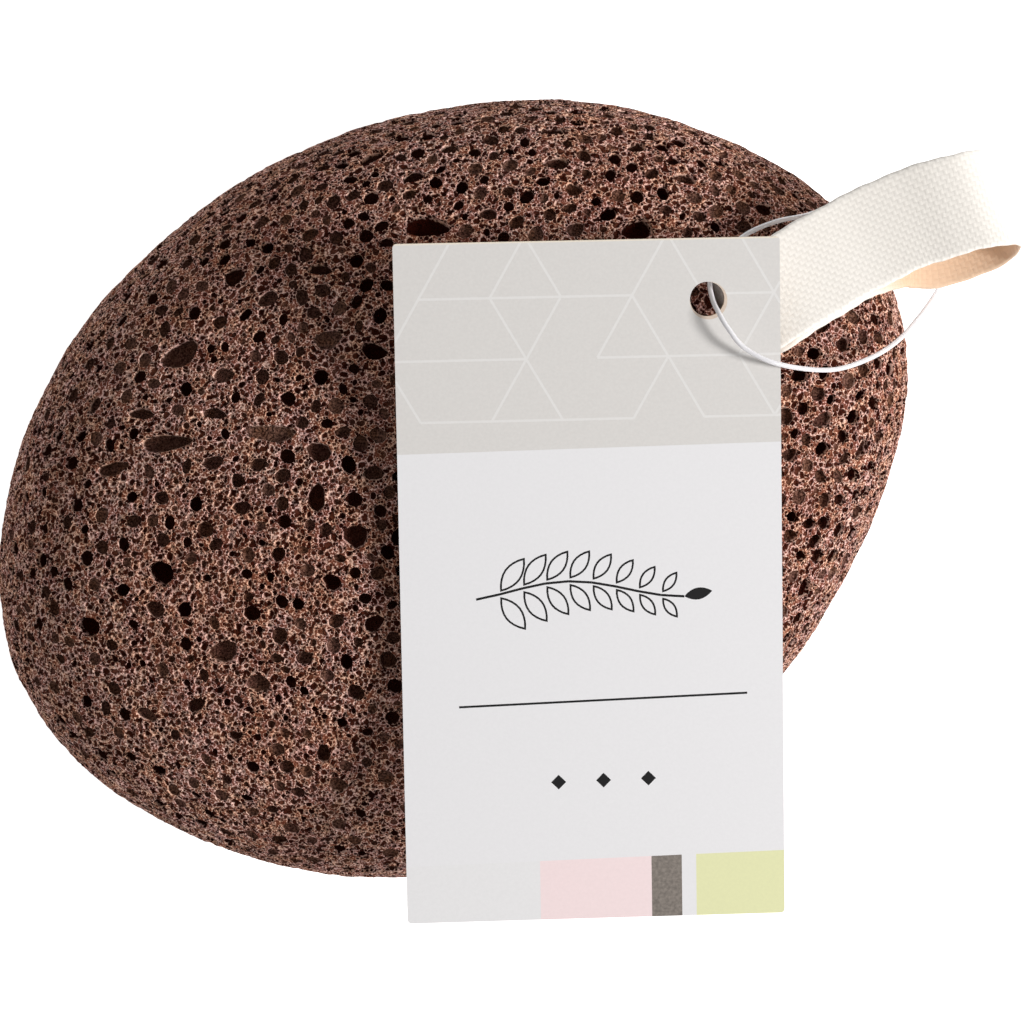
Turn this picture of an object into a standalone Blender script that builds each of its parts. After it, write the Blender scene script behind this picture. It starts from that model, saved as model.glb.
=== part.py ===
"""A lava foot stone as it is sold: a rounded pebble of red-brown volcanic foam with open pits, a woven cotton
hanging loop glued into a slot in its crown, and a card hang tag on a clear nylon ring round that loop.

The stone lies on its broad worn face. The origin is in the middle of that face, +Z is up, and +X runs along
the stone's longer side. Dimensions are in millimetres and turn to metres when a mesh is made.
"""

import math
import random

import bmesh
import bpy
import numpy as np
from mathutils import Matrix, Vector
from mathutils.geometry import delaunay_2d_cdt

MM = 0.001
SEED = 11
SHARP_ANGLE = math.radians(38)

# The pebble: its outline from above, one radius every 20 degrees anticlockwise from +X
OUTLINE_RADII = (
    45.1, 50.2, 49.3, 45.1, 41.7, 39.5, 39.3, 40.5, 43.3,
    46.7, 49.6, 48.1, 44.5, 41.7, 39.5, 38.3, 38.5, 40.8,
)
EQUATOR_HEIGHT = 21.0
CROWN_HEIGHT = 21.0
KEEL_HEIGHT = 21.5
CROWN_ROUNDNESS = 2.4
KEEL_ROUNDNESS = 2.6
CREST_SHIFT = (3.2, 4.2)
SWELL = 0.007
ROUGHNESS = 0.3
REST_RING_RADIUS = 9.0
REST_RING_SIDES = 18
FACET_POINTS = 850
FACET_SPREAD = (46.0, 40.0, 24.0)
REST_EDGE_HEIGHT = 5.0
NORMAL_STEP = 0.004
STEEP = 0.8
CROWN_SEARCH_STEPS = 30
CROWN_SEARCH_START = 0.7
CROWN_SEARCH_PACE = 0.5

# Pits on the crown: x, y, length, width, turn in degrees, and depth as a share of the width
CROWN_PITS = (
    (-29.4, -8.5, 2.9, 2.7, 0, 0.8),
    (-37.0, -14.0, 2.9, 2.3, 20, 0.8),
    (-23.1, -16.5, 3.5, 2.3, 10, 0.4),
    (-30.0, -12.2, 2.2, 1.9, 0, 0.5),
    (-12.0, -9.4, 2.0, 1.9, 0, 0.7),
    (-9.6, -4.8, 2.8, 2.5, 30, 0.5),
    (-13.5, -0.9, 3.0, 2.1, 80, 0.6),
    (-21.1, -1.9, 2.1, 1.4, 15, 0.7),
    (-21.5, 0.8, 1.7, 1.5, 0, 0.7),
    (-17.4, -6.6, 1.9, 1.4, 60, 0.8),
    (-7.8, -13.6, 2.3, 1.8, 25, 0.7),
    (-19.6, -19.7, 2.6, 2.1, 0, 0.4),
    (-26.0, -22.0, 2.3, 1.6, 30, 0.7),
    (-9.7, -20.5, 2.1, 1.6, 140, 0.7),
    (-6.4, -17.3, 2.1, 1.8, 0, 0.6),
    (-13.1, -27.0, 2.2, 1.6, 70, 0.7),
    (-22.1, -25.2, 1.7, 1.2, 0, 0.9),
    (-31.2, -23.0, 2.6, 1.5, 150, 0.5),
    (-11.7, -30.2, 2.3, 1.8, 0, 0.4),
    (-29.0, 4.6, 6.4, 1.7, 4, 0.6),
    (-18.2, 5.6, 5.0, 1.9, 172, 0.35),
    (-34.4, 2.0, 3.8, 1.5, 5, 0.6),
    (-24.0, 2.6, 2.5, 1.5, 20, 0.6),
    (-19.4, 2.4, 2.0, 1.5, 0, 0.6),
    (-13.3, 3.7, 2.7, 2.2, 160, 0.5),
    (-7.7, 1.5, 2.1, 1.7, 0, 0.6),
    (-31.4, 7.6, 3.2, 1.2, 170, 0.8),
    (-23.9, 7.6, 2.9, 1.2, 175, 0.8),
    (-16.4, 9.0, 1.8, 1.6, 0, 0.8),
    (-36.4, 8.6, 2.1, 1.4, 40, 0.7),
    (-27.6, 13.6, 4.8, 2.6, 30, 0.4),
    (-23.0, 11.4, 2.6, 1.5, 10, 0.5),
    (-13.3, 22.1, 2.8, 1.3, 176, 0.9),
    (-22.2, 21.6, 2.7, 2.1, 30, 0.6),
    (-18.6, 19.2, 2.4, 1.8, 35, 0.5),
    (-7.8, 13.7, 2.7, 2.0, 165, 0.8),
    (-12.4, 14.9, 3.2, 2.1, 5, 0.35),
    (-14.5, 25.8, 2.0, 1.7, 0, 0.5),
    (-19.6, 27.3, 2.3, 1.6, 30, 0.5),
    (-8.2, 34.0, 3.6, 1.5, 32, 0.8),
    (-4.0, 31.7, 2.4, 1.7, 20, 0.7),
    (-0.3, 34.6, 2.1, 1.5, 0, 0.6),
    (10.0, 36.6, 3.2, 1.4, 8, 0.8),
    (10.5, 33.0, 2.8, 1.8, 170, 0.6),
    (12.2, 30.1, 2.1, 1.5, 160, 0.6),
    (-2.7, 26.4, 4.7, 2.6, 176, 0.6),
    (18.6, 26.0, 3.6, 2.2, 10, 0.8),
    (3.6, 27.5, 1.9, 1.6, 0, 0.6),
    (12.3, 25.9, 2.1, 1.6, 0, 0.5),
    (18.7, 34.9, 2.3, 1.5, 20, 0.7),
    (23.6, 31.6, 2.6, 1.5, 160, 0.7),
    (35.0, 11.4, 1.9, 1.7, 0, 0.9),
    (39.6, 14.6, 1.9, 1.6, 0, 0.7),
    (37.4, 6.9, 2.5, 1.6, 30, 0.6),
    (34.0, 3.4, 2.0, 1.4, 0, 0.7),
    (41.8, 4.0, 2.4, 1.6, 60, 0.7),
    (36.0, -10.2, 2.6, 2.0, 95, 0.7),
    (34.2, -4.8, 1.9, 1.4, 0, 0.7),
)
# Shallow bites out of the rim, which notch the outline: azimuth, height, length, width, turn and depth share
RIM_BITES = (
    (96.0, 25.0, 3.4, 2.6, 60, 0.4),
    (71.0, 26.0, 3.2, 2.4, 110, 0.4),
    (6.0, 24.0, 3.6, 2.6, 40, 0.4),
)
SCATTERED_PITS = 118
SCATTERED_LENGTH = (2.0, 3.8)
SCATTERED_SHAPE = (0.6, 0.95)
SCATTERED_SHARE = (0.4, 0.8)
SCATTERED_TOP = 22.0
PIT_GAP = 0.8
PIT_SURROUND = 1.4
PIT_REACH = 1.2
PIT_WALL = 0.66
PIT_WALL_DEPTH = 0.8
PIT_WAVE = 0.09
PIT_SIDES = 7
LONG_PIT_SIDES = 12
LONG_PIT = 3.4

# The slot for the hanging loop: two holes drilled side by side, leaning towards the loop
SLOT_MOUTH = (28.8, 17.3, 39.2)
SLOT_AXIS = (0.40, 0.17, 0.90)
SLOT_LENGTH = 11.8
SLOT_WIDTH = 3.2
SLOT_DEPTH = 12.0
SLOT_END_STEPS = 7

# The cotton tape: its width and thickness, and its course from one glued end to the other, out over the
# stone's shoulder, round the fold and back. Each point gives x, y, z and the way the tape's width runs.
TAPE_WIDTH = 10.0
TAPE_THICKNESS = 0.6
TAPE_STEP = 1.5
FINE_STEPS = 24
TAPE_COURSE = (
    (23.74, 15.14, 28.9, 23.5),
    (25.9, 16.06, 33.8, 23.5),
    (27.9, 16.91, 38.3, 23.5),
    (28.5, 17.3, 40.6, 23.5),
    (30.2, 18.3, 42.2, 24.0),
    (33.0, 20.0, 42.2, 25.0),
    (37.2, 22.6, 41.0, 26.0),
    (41.4, 24.9, 39.8, 26.0),
    (45.6, 26.9, 39.2, 25.0),
    (49.6, 28.2, 39.0, 23.5),
    (52.6, 29.0, 38.4, 22.5),
    (54.7, 29.3, 36.9, 22.0),
    (55.6, 29.0, 34.5, 21.5),
    (54.9, 28.1, 32.0, 20.5),
    (53.0, 26.9, 30.7, 19.0),
    (49.4, 25.7, 30.3, 17.5),
    (45.6, 25.5, 31.3, 19.5),
    (41.6, 24.5, 33.9, 22.0),
    (38.0, 22.6, 36.9, 24.0),
    (34.9, 20.7, 39.3, 24.0),
    (32.6, 19.3, 40.6, 24.0),
    (30.8, 18.1, 40.7, 23.5),
    (29.5, 17.6, 39.8, 23.5),
    (28.9, 17.35, 38.3, 23.5),
    (26.9, 16.5, 33.8, 23.5),
    (24.74, 15.58, 28.9, 23.5),
)

# The card hang tag, which rests on the crown and rises towards the loop
TAG_WIDTH = 38.0
TAG_HEIGHT = 68.0
TAG_THICKNESS = 0.5
TAG_CORNER_RADIUS = 0.4
TAG_CORNER_STEPS = 5
TAG_CENTRE = (13.9, -9.4, 41.6)
TAG_RIGHT = (0.9986, 0.0242, -0.0468)
TAG_UP = (-0.0222, 0.9913, 0.13)
TAG_HOLE = (11.8, 28.0)
TAG_HOLE_DIAMETER = 3.4
TAG_HOLE_SIDES = 20
TAG_PUNCH_LENGTH = 3.0

# The nylon ring through the tag's hole and round the foot of the tape
RING_DIAMETER = 0.5
RING_STEPS = 3
RING_BEVEL_STEPS = 2
RING_COURSE = (
    (25.7, 18.7, 44.8),
    (26.2, 17.3, 46.0),
    (27.2, 15.6, 46.2),
    (28.9, 13.7, 45.7),
    (32.3, 12.2, 44.7),
    (37.6, 11.8, 41.2),
    (41.9, 13.1, 37.5),
    (45.2, 15.1, 34.0),
    (47.8, 17.8, 31.2),
    (49.9, 20.6, 29.2),
    (51.6, 23.8, 28.2),
    (51.3, 27.0, 27.9),
    (48.6, 29.2, 28.3),
    (44.6, 29.8, 29.6),
    (40.3, 29.4, 31.8),
    (36.0, 27.8, 34.6),
    (32.6, 26.9, 37.2),
    (29.4, 25.4, 39.6),
    (27.0, 23.2, 41.8),
    (25.6, 20.7, 43.5),
)

COLOURS = {
    "lava": (0.112, 0.044, 0.030, 1.0),
    "cotton": (0.83, 0.78, 0.70, 1.0),
    "card": (0.83, 0.82, 0.81, 1.0),
    "nylon": (0.85, 0.85, 0.86, 1.0),
}


def clear_scene():
    for thing in list(bpy.data.objects):
        bpy.data.objects.remove(thing, do_unlink=True)


def make_material(name, colour, roughness, metallic=0.0):
    material = bpy.data.materials.new(name)
    material.use_nodes = True
    shader = material.node_tree.nodes["Principled BSDF"]
    shader.inputs["Base Color"].default_value = colour
    shader.inputs["Roughness"].default_value = roughness
    shader.inputs["Metallic"].default_value = metallic
    return material


def add_object(name, data, material=None):
    thing = bpy.data.objects.new(name, data)
    bpy.context.scene.collection.objects.link(thing)
    if material:
        data.materials.append(material)
    return thing


def unit(vectors):
    return vectors / np.linalg.norm(vectors, axis=1)[:, None]


def outline_radius(azimuth):
    """The outline's radius at each azimuth: the smooth closed curve through OUTLINE_RADII."""
    waves = np.fft.rfft(OUTLINE_RADII) / len(OUTLINE_RADII)
    waves[1:-1] *= 2
    turns = np.exp(1j * np.outer(azimuth, np.arange(len(waves))))
    return (turns @ waves).real


def swell(directions):
    """Slow swells of the worn surface, as a share of the distance from the stone's middle."""
    x, y, z = directions.T
    waves = np.sin(4.1 * x + 1.3 * y + 0.6) + np.sin(3.7 * y - 2.3 * z + 2.1)
    waves += np.sin(5.3 * z + 3.1 * x + 4.0)
    return SWELL * waves / 3


def stone_surface(directions):
    """The worn pebble without its pits, at each direction from its middle."""
    azimuth = np.arctan2(directions[:, 1], directions[:, 0])
    level = np.hypot(directions[:, 0], directions[:, 1])
    rise = directions[:, 2]
    half_height = np.where(rise > 0, CROWN_HEIGHT, KEEL_HEIGHT)
    roundness = np.where(rise > 0, CROWN_ROUNDNESS, KEEL_ROUNDNESS)
    plan_share = (level / outline_radius(azimuth)) ** roundness
    height_share = (np.abs(rise) / half_height) ** roundness
    reach = (plan_share + height_share) ** (-1 / roundness) * (1 + swell(directions))
    points = directions * reach[:, None]
    lean = np.clip(points[:, 2] / CROWN_HEIGHT, 0, None) ** 2
    points[:, :2] += lean[:, None] * np.array(CREST_SHIFT)
    points[:, 2] = np.maximum(points[:, 2] + EQUATOR_HEIGHT, 0)
    return points


def stone_directions(points):
    """The direction from the stone's middle to each point on or near its surface."""
    offsets = points - np.array((0, 0, EQUATOR_HEIGHT))
    lean = np.clip(offsets[:, 2] / CROWN_HEIGHT, 0, None) ** 2
    offsets[:, :2] -= lean[:, None] * np.array(CREST_SHIFT)
    return unit(offsets)


def stone_normals(directions):
    """Outward normals of the pebble, from three close points of its surface."""
    aside = unit(np.cross(directions, np.where(np.abs(directions[:, 2:]) < STEEP, (0, 0, 1), (1, 0, 0))))
    across = np.cross(directions, aside)
    middle = stone_surface(directions)
    first = stone_surface(unit(directions + NORMAL_STEP * aside)) - middle
    second = stone_surface(unit(directions + NORMAL_STEP * across)) - middle
    return unit(np.cross(first, second))


def crown_point(x, y):
    """The direction to the crown's surface above the plan position x, y."""
    height = CROWN_HEIGHT * CROWN_SEARCH_START
    for _ in range(CROWN_SEARCH_STEPS):
        lean = (height / CROWN_HEIGHT) ** 2
        plan = np.array((x, y)) - lean * np.array(CREST_SHIFT)
        share = np.hypot(*plan) / outline_radius(np.array([math.atan2(plan[1], plan[0])]))[0]
        target = CROWN_HEIGHT * max(1 - share**CROWN_ROUNDNESS, 0) ** (1 / CROWN_ROUNDNESS)
        height += CROWN_SEARCH_PACE * (target - height)
    return stone_directions(np.array([(x, y, height + EQUATOR_HEIGHT)]))[0]


def flank_point(azimuth, height):
    """The direction to the flank's surface at an azimuth in degrees and a height over the rest face."""
    angle = math.radians(azimuth)
    radius = outline_radius(np.array([angle]))[0]
    return stone_directions(np.array([(radius * math.cos(angle), radius * math.sin(angle), height)]))[0]


def make_pit(direction, length, width, turn, depth_share, phase):
    """A pit's centre and the two half axes of its mouth, which lie in the surface."""
    centre = stone_surface(direction[None])[0]
    normal = stone_normals(direction[None])[0]
    seed_axis = np.array((math.cos(math.radians(turn)), math.sin(math.radians(turn)), 0.0))
    if abs(seed_axis @ normal) > STEEP:
        seed_axis = np.array((0.0, 0.0, 1.0))
    along = seed_axis - (seed_axis @ normal) * normal
    along /= np.linalg.norm(along)
    across = np.cross(normal, along)
    return {
        "centre": centre,
        "along": along * length / 2,
        "across": across * width / 2,
        "length": length,
        "depth": depth_share * width,
        "phase": phase,
    }


def scatter_pits(rng, placed):
    """More pits over the flanks and the underside, clear of those placed and the middle of the rest face."""
    pits = list(placed)
    while len(pits) < len(placed) + SCATTERED_PITS:
        direction = np.array([rng.gauss(0, 1) for _ in range(3)])
        direction /= np.linalg.norm(direction)
        point = stone_surface(direction[None])
        direction = stone_directions(point)[0]
        length = rng.uniform(*SCATTERED_LENGTH)
        width = length * rng.uniform(*SCATTERED_SHAPE)
        turn = rng.uniform(0, 180)
        share = rng.uniform(*SCATTERED_SHARE)
        phase = rng.uniform(0, 2 * math.pi)
        blocked = point[0, 2] > SCATTERED_TOP or np.linalg.norm(point[0]) < REST_RING_RADIUS + length
        crowded = any(
            np.linalg.norm(point[0] - pit["centre"]) < (length + pit["length"]) / 2 + PIT_GAP for pit in pits
        )
        if not blocked and not crowded:
            pits.append(make_pit(direction, length, width, turn, share, phase))
    return pits


def pit_vertices(pit):
    """A pit's rim, the foot of its wall and its floor, as directions and depths."""
    sides = LONG_PIT_SIDES if pit["length"] > LONG_PIT else PIT_SIDES
    points = []
    depths = []
    for scale, depth in ((1.0, 0.0), (PIT_WALL, PIT_WALL_DEPTH * pit["depth"])):
        for index in range(sides):
            angle = 2 * math.pi * index / sides
            wave = math.sin(2 * angle + pit["phase"]) + math.sin(3 * angle + 2 * pit["phase"])
            offset = math.cos(angle) * pit["along"] + math.sin(angle) * pit["across"]
            points.append(pit["centre"] + scale * (1 + PIT_WAVE * wave) * offset)
            depths.append(depth)
    points.append(pit["centre"])
    depths.append(pit["depth"])
    return stone_directions(np.array(points)), depths


def beside_pit(point, pit):
    """Whether a point lies inside a pit or close round it."""
    offset = point - pit["centre"]
    along = offset @ pit["along"] / (pit["along"] @ pit["along"])
    across = offset @ pit["across"] / (pit["across"] @ pit["across"])
    return math.hypot(along, across) < PIT_SURROUND and np.linalg.norm(offset) < PIT_REACH * pit["length"]


def between_pits(rng, pits):
    """Points spread evenly over the pebble between its pits, each raised or sunk a little."""
    golden = math.pi * (3 - math.sqrt(5))
    directions = []
    depths = []
    for index in range(FACET_POINTS):
        rise = 1 - 2 * (index + 0.5) / FACET_POINTS
        level = math.sqrt(1 - rise * rise)
        turn = golden * index
        place = np.array((level * math.cos(turn), level * math.sin(turn), rise)) * FACET_SPREAD
        direction = place / np.linalg.norm(place)
        point = stone_surface(direction[None])[0]
        lift = rng.uniform(-ROUGHNESS, ROUGHNESS)
        low = point[2] < REST_EDGE_HEIGHT
        on_rest_ring = low and math.hypot(point[0], point[1]) < REST_RING_RADIUS * PIT_REACH
        if not on_rest_ring and not any(beside_pit(point, pit) for pit in pits):
            directions.append(direction)
            depths.append(lift if point[2] > ROUGHNESS else 0.0)
    return np.array(directions), depths


def rest_ring():
    """The corners of the flat middle of the rest face."""
    angles = np.arange(REST_RING_SIDES) * 2 * math.pi / REST_RING_SIDES
    heights = np.zeros(REST_RING_SIDES)
    return np.column_stack((REST_RING_RADIUS * np.cos(angles), REST_RING_RADIUS * np.sin(angles), heights))


def make_stone(material):
    """The pebble and its pits in one skin: its points are joined where they lie closest on a sphere."""
    rng = random.Random(SEED)
    placed = [
        make_pit(crown_point(x, y), *shape, rng.uniform(0, 2 * math.pi)) for x, y, *shape in CROWN_PITS
    ]
    placed += [
        make_pit(flank_point(azimuth, height), *shape, rng.uniform(0, 2 * math.pi))
        for azimuth, height, *shape in RIM_BITES
    ]
    pits = scatter_pits(rng, placed)
    ring = rest_ring()
    direction_groups = [stone_directions(ring)]
    depth_groups = [np.zeros(len(ring))]
    for pit in pits:
        directions, depths = pit_vertices(pit)
        direction_groups.append(directions)
        depth_groups.append(depths)
    directions, depths = between_pits(rng, pits)
    direction_groups.append(directions)
    depth_groups.append(depths)
    directions = np.concatenate(direction_groups)
    depths = np.concatenate(depth_groups)

    # Seen from the middle of the rest face, the rest of the sphere opens out flat without changing its angles
    flattened = directions[:, :2] / (1 + directions[:, 2:])
    _, _, faces, origins, _, _ = delaunay_2d_cdt([Vector(p) for p in flattened], [], [], 0, 1e-9)
    points = stone_surface(directions) - depths[:, None] * stone_normals(directions)
    points[: len(ring)] = ring

    shape = bmesh.new()
    corners = [shape.verts.new(Vector(point) * MM) for point in points]
    for face in faces:
        shape.faces.new([corners[origins[index][0]] for index in face])
    shape.faces.new(list(reversed(corners[: len(ring)])))
    mesh = bpy.data.meshes.new("stone")
    shape.to_mesh(mesh)
    shape.free()
    mesh.shade_smooth()
    mesh.set_sharp_from_angle(angle=SHARP_ANGLE)
    stone = add_object("stone", mesh, material)
    cut = stone.modifiers.new("tape slot", "BOOLEAN")
    cut.operation = "DIFFERENCE"
    cut.object = make_slot_cutter()
    return stone


def make_slot_cutter():
    """A bar with round ends that cuts the slot; it stands out of the stone as far as it goes in."""
    axis = Vector(SLOT_AXIS).normalized()
    angle = math.radians(TAPE_COURSE[0][3] + 90)
    along = Vector((math.cos(angle), math.sin(angle), 0))
    along = (along - along.dot(axis) * axis).normalized()
    across = axis.cross(along)
    half_straight = (SLOT_LENGTH - SLOT_WIDTH) / 2
    outline = []
    for end in (1, -1):
        for step in range(SLOT_END_STEPS):
            turn = math.pi * step / (SLOT_END_STEPS - 1) - math.pi / 2
            u = end * (half_straight + SLOT_WIDTH / 2 * math.cos(turn))
            v = end * SLOT_WIDTH / 2 * math.sin(turn)
            outline.append(Vector(SLOT_MOUTH) + u * along + v * across)
    shape = bmesh.new()
    floor = [shape.verts.new((point - SLOT_DEPTH * axis) * MM) for point in outline]
    roof = [shape.verts.new((point + SLOT_DEPTH * axis) * MM) for point in outline]
    shape.faces.new(floor)
    shape.faces.new(roof)
    for index in range(len(outline)):
        after = (index + 1) % len(outline)
        shape.faces.new((floor[index], floor[after], roof[after], roof[index]))
    bmesh.ops.recalc_face_normals(shape, faces=shape.faces)
    mesh = bpy.data.meshes.new("slot cutter")
    shape.to_mesh(mesh)
    shape.free()
    cutter = add_object("slot_cutter", mesh)
    cutter.hide_render = True
    cutter.display_type = "WIRE"
    return cutter


def smooth_course(points, steps, closed):
    """A smooth curve through the points, with the given number of steps between each two."""
    points = np.array(points, float)
    count = len(points)
    curve = []
    for index in range(count if closed else count - 1):
        if closed:
            before, start, end, after = (points[(index + k) % count] for k in (-1, 0, 1, 2))
        else:
            before, start, end, after = (points[min(max(index + k, 0), count - 1)] for k in (-1, 0, 1, 2))
        for step in range(steps):
            t = step / steps
            curve.append(
                0.5 * (2 * start + (end - before) * t + (2 * before - 5 * start + 4 * end - after) * t**2
                       + (3 * start - before - 3 * end + after) * t**3)
            )
    if not closed:
        curve.append(points[-1])
    return np.array(curve)


def even_course(points, spacing):
    """The smooth open curve through the points, cut into equal lengths close to the spacing."""
    fine = smooth_course(points, FINE_STEPS, closed=False)
    lengths = np.r_[0, np.cumsum(np.linalg.norm(np.diff(fine[:, :3], axis=0), axis=1))]
    places = np.linspace(0, lengths[-1], round(lengths[-1] / spacing) + 1)
    return np.column_stack([np.interp(places, lengths, column) for column in fine.T])


def make_tape(material):
    """The woven tape as one folded strip of even width and thickness."""
    course = even_course(TAPE_COURSE, TAPE_STEP)
    shape = bmesh.new()
    sections = []
    for index, (x, y, z, heading) in enumerate(course):
        before = course[max(index - 1, 0)][:3]
        after = course[min(index + 1, len(course) - 1)][:3]
        travel = Vector(after - before).normalized()
        angle = math.radians(heading + 90)
        wide = Vector((math.cos(angle), math.sin(angle), 0))
        wide = (wide - wide.dot(travel) * travel).normalized()
        thick = travel.cross(wide)
        middle = Vector((x, y, z))
        corners = ((1, 1), (-1, 1), (-1, -1), (1, -1))
        section = [
            shape.verts.new((middle + a * TAPE_WIDTH / 2 * wide + b * TAPE_THICKNESS / 2 * thick) * MM)
            for a, b in corners
        ]
        sections.append(section)
    for section, following in zip(sections, sections[1:]):
        for index in range(4):
            after = (index + 1) % 4
            shape.faces.new((section[index], section[after], following[after], following[index]))
    shape.faces.new(sections[0])
    shape.faces.new(sections[-1])
    bmesh.ops.recalc_face_normals(shape, faces=shape.faces)
    mesh = bpy.data.meshes.new("hanging tape")
    shape.to_mesh(mesh)
    shape.free()
    mesh.shade_smooth()
    mesh.set_sharp_from_angle(angle=SHARP_ANGLE)
    return add_object("hanging_tape", mesh, material)


def tag_matrix():
    """Turns the tag's own width, height and thickness to where it rests on the stone."""
    right = Vector(TAG_RIGHT).normalized()
    face = right.cross(Vector(TAG_UP)).normalized()
    up = face.cross(right)
    turn = Matrix((right, up, face)).transposed().to_4x4()
    return Matrix.Translation(Vector(TAG_CENTRE) * MM) @ turn


def make_tag(material):
    """The card: a plate with small round corners and a punched hole."""
    outline = []
    for corner in range(4):
        side = (1 if corner in (0, 3) else -1, 1 if corner < 2 else -1)
        for step in range(TAG_CORNER_STEPS):
            turn = math.pi / 2 * (corner + step / (TAG_CORNER_STEPS - 1))
            x = side[0] * (TAG_WIDTH / 2 - TAG_CORNER_RADIUS) + TAG_CORNER_RADIUS * math.cos(turn)
            y = side[1] * (TAG_HEIGHT / 2 - TAG_CORNER_RADIUS) + TAG_CORNER_RADIUS * math.sin(turn)
            outline.append((x, y))
    shape = bmesh.new()
    back = [shape.verts.new(Vector((x, y, -TAG_THICKNESS / 2)) * MM) for x, y in outline]
    bottom = shape.faces.new(back)
    raised = bmesh.ops.extrude_face_region(shape, geom=[bottom])["geom"]
    bmesh.ops.translate(
        shape,
        vec=Vector((0, 0, TAG_THICKNESS * MM)),
        verts=[item for item in raised if isinstance(item, bmesh.types.BMVert)],
    )
    bmesh.ops.recalc_face_normals(shape, faces=shape.faces)
    mesh = bpy.data.meshes.new("hang tag")
    shape.to_mesh(mesh)
    shape.free()
    tag = add_object("hang_tag", mesh, material)
    tag.matrix_world = tag_matrix()

    drill = bmesh.new()
    bmesh.ops.create_cone(
        drill,
        cap_ends=True,
        segments=TAG_HOLE_SIDES,
        radius1=TAG_HOLE_DIAMETER / 2 * MM,
        radius2=TAG_HOLE_DIAMETER / 2 * MM,
        depth=TAG_PUNCH_LENGTH * MM,
    )
    drill_mesh = bpy.data.meshes.new("tag punch")
    drill.to_mesh(drill_mesh)
    drill.free()
    punch = add_object("tag_punch", drill_mesh)
    punch.matrix_world = tag_matrix() @ Matrix.Translation(Vector((*TAG_HOLE, 0)) * MM)
    punch.hide_render = True
    punch.display_type = "WIRE"
    cut = tag.modifiers.new("hole", "BOOLEAN")
    cut.operation = "DIFFERENCE"
    cut.object = punch
    return tag


def make_ring(material):
    """The nylon filament, closed on itself behind the tag."""
    course = smooth_course(RING_COURSE, RING_STEPS, closed=True)
    curve = bpy.data.curves.new("tag ring", "CURVE")
    curve.dimensions = "3D"
    curve.bevel_depth = RING_DIAMETER / 2 * MM
    curve.bevel_resolution = RING_BEVEL_STEPS
    spline = curve.splines.new("POLY")
    spline.points.add(len(course) - 1)
    for point, place in zip(spline.points, course):
        point.co = (*(place * MM), 1)
    spline.use_cyclic_u = True
    return add_object("tag_ring", curve, material)


def main():
    clear_scene()
    make_stone(make_material("lava foam", COLOURS["lava"], 0.95))
    make_tape(make_material("unbleached cotton", COLOURS["cotton"], 0.9))
    make_tag(make_material("laminated card", COLOURS["card"], 0.35))
    make_ring(make_material("clear nylon", COLOURS["nylon"], 0.2))


main()
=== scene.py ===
"""A lava foot stone with a woven hanging loop and a card hang tag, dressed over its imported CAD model.

The pebble is rebuilt with every pore, the loop as woven tape, the tag as printed card and the ring as clear
filament. Lengths are millimetres in the tables below and metres in every mesh and every property.
"""

import math
import random

import bmesh
import bpy
import numpy as np
from bpy.props import FloatProperty, FloatVectorProperty, IntProperty, PointerProperty, StringProperty
from mathutils import Matrix, Vector
from mathutils.geometry import delaunay_2d_cdt


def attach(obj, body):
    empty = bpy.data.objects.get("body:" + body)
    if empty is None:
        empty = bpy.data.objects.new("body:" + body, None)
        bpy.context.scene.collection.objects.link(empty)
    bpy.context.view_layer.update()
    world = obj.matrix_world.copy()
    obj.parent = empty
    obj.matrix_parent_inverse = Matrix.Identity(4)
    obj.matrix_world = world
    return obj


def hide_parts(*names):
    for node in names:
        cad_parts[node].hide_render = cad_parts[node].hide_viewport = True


bl_info = {
    "name": "Lava foot stone",
    "version": (1, 0, 0),
    "blender": (4, 5, 0),
    "location": "3D View > Sidebar > Foot stone",
    "description": "Builds a lava foot stone with its hanging loop and hang tag",
    "category": "Add Mesh",
}

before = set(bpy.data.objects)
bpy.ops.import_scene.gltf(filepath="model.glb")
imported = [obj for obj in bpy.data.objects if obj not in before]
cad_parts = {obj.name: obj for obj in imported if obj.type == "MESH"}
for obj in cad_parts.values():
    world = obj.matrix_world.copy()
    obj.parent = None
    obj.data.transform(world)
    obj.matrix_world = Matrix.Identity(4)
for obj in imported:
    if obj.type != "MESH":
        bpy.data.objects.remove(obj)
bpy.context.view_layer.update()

MM = 0.001
SEED = 11

# The pebble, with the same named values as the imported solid: one outline radius every 20 degrees from +X
OUTLINE_RADII = (
    45.1, 50.2, 49.3, 45.1, 41.7, 39.5, 39.3, 40.5, 43.3,
    46.7, 49.6, 48.1, 44.5, 41.7, 39.5, 38.3, 38.5, 40.8,
)
EQUATOR_HEIGHT = 21.0
CROWN_HEIGHT = 21.0
KEEL_HEIGHT = 21.5
CROWN_ROUNDNESS = 2.4
KEEL_ROUNDNESS = 2.6
CREST_SHIFT = (3.2, 4.2)
SWELL = 0.007
REST_RING_RADIUS = 9.0
NORMAL_STEP = 0.004
# Past this share of an axis a direction counts as lying along it
ALONG_AXIS = 0.8
CROWN_SEARCH_STEPS = 30
CROWN_SEARCH_START = 0.7
CROWN_SEARCH_PACE = 0.5

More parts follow.
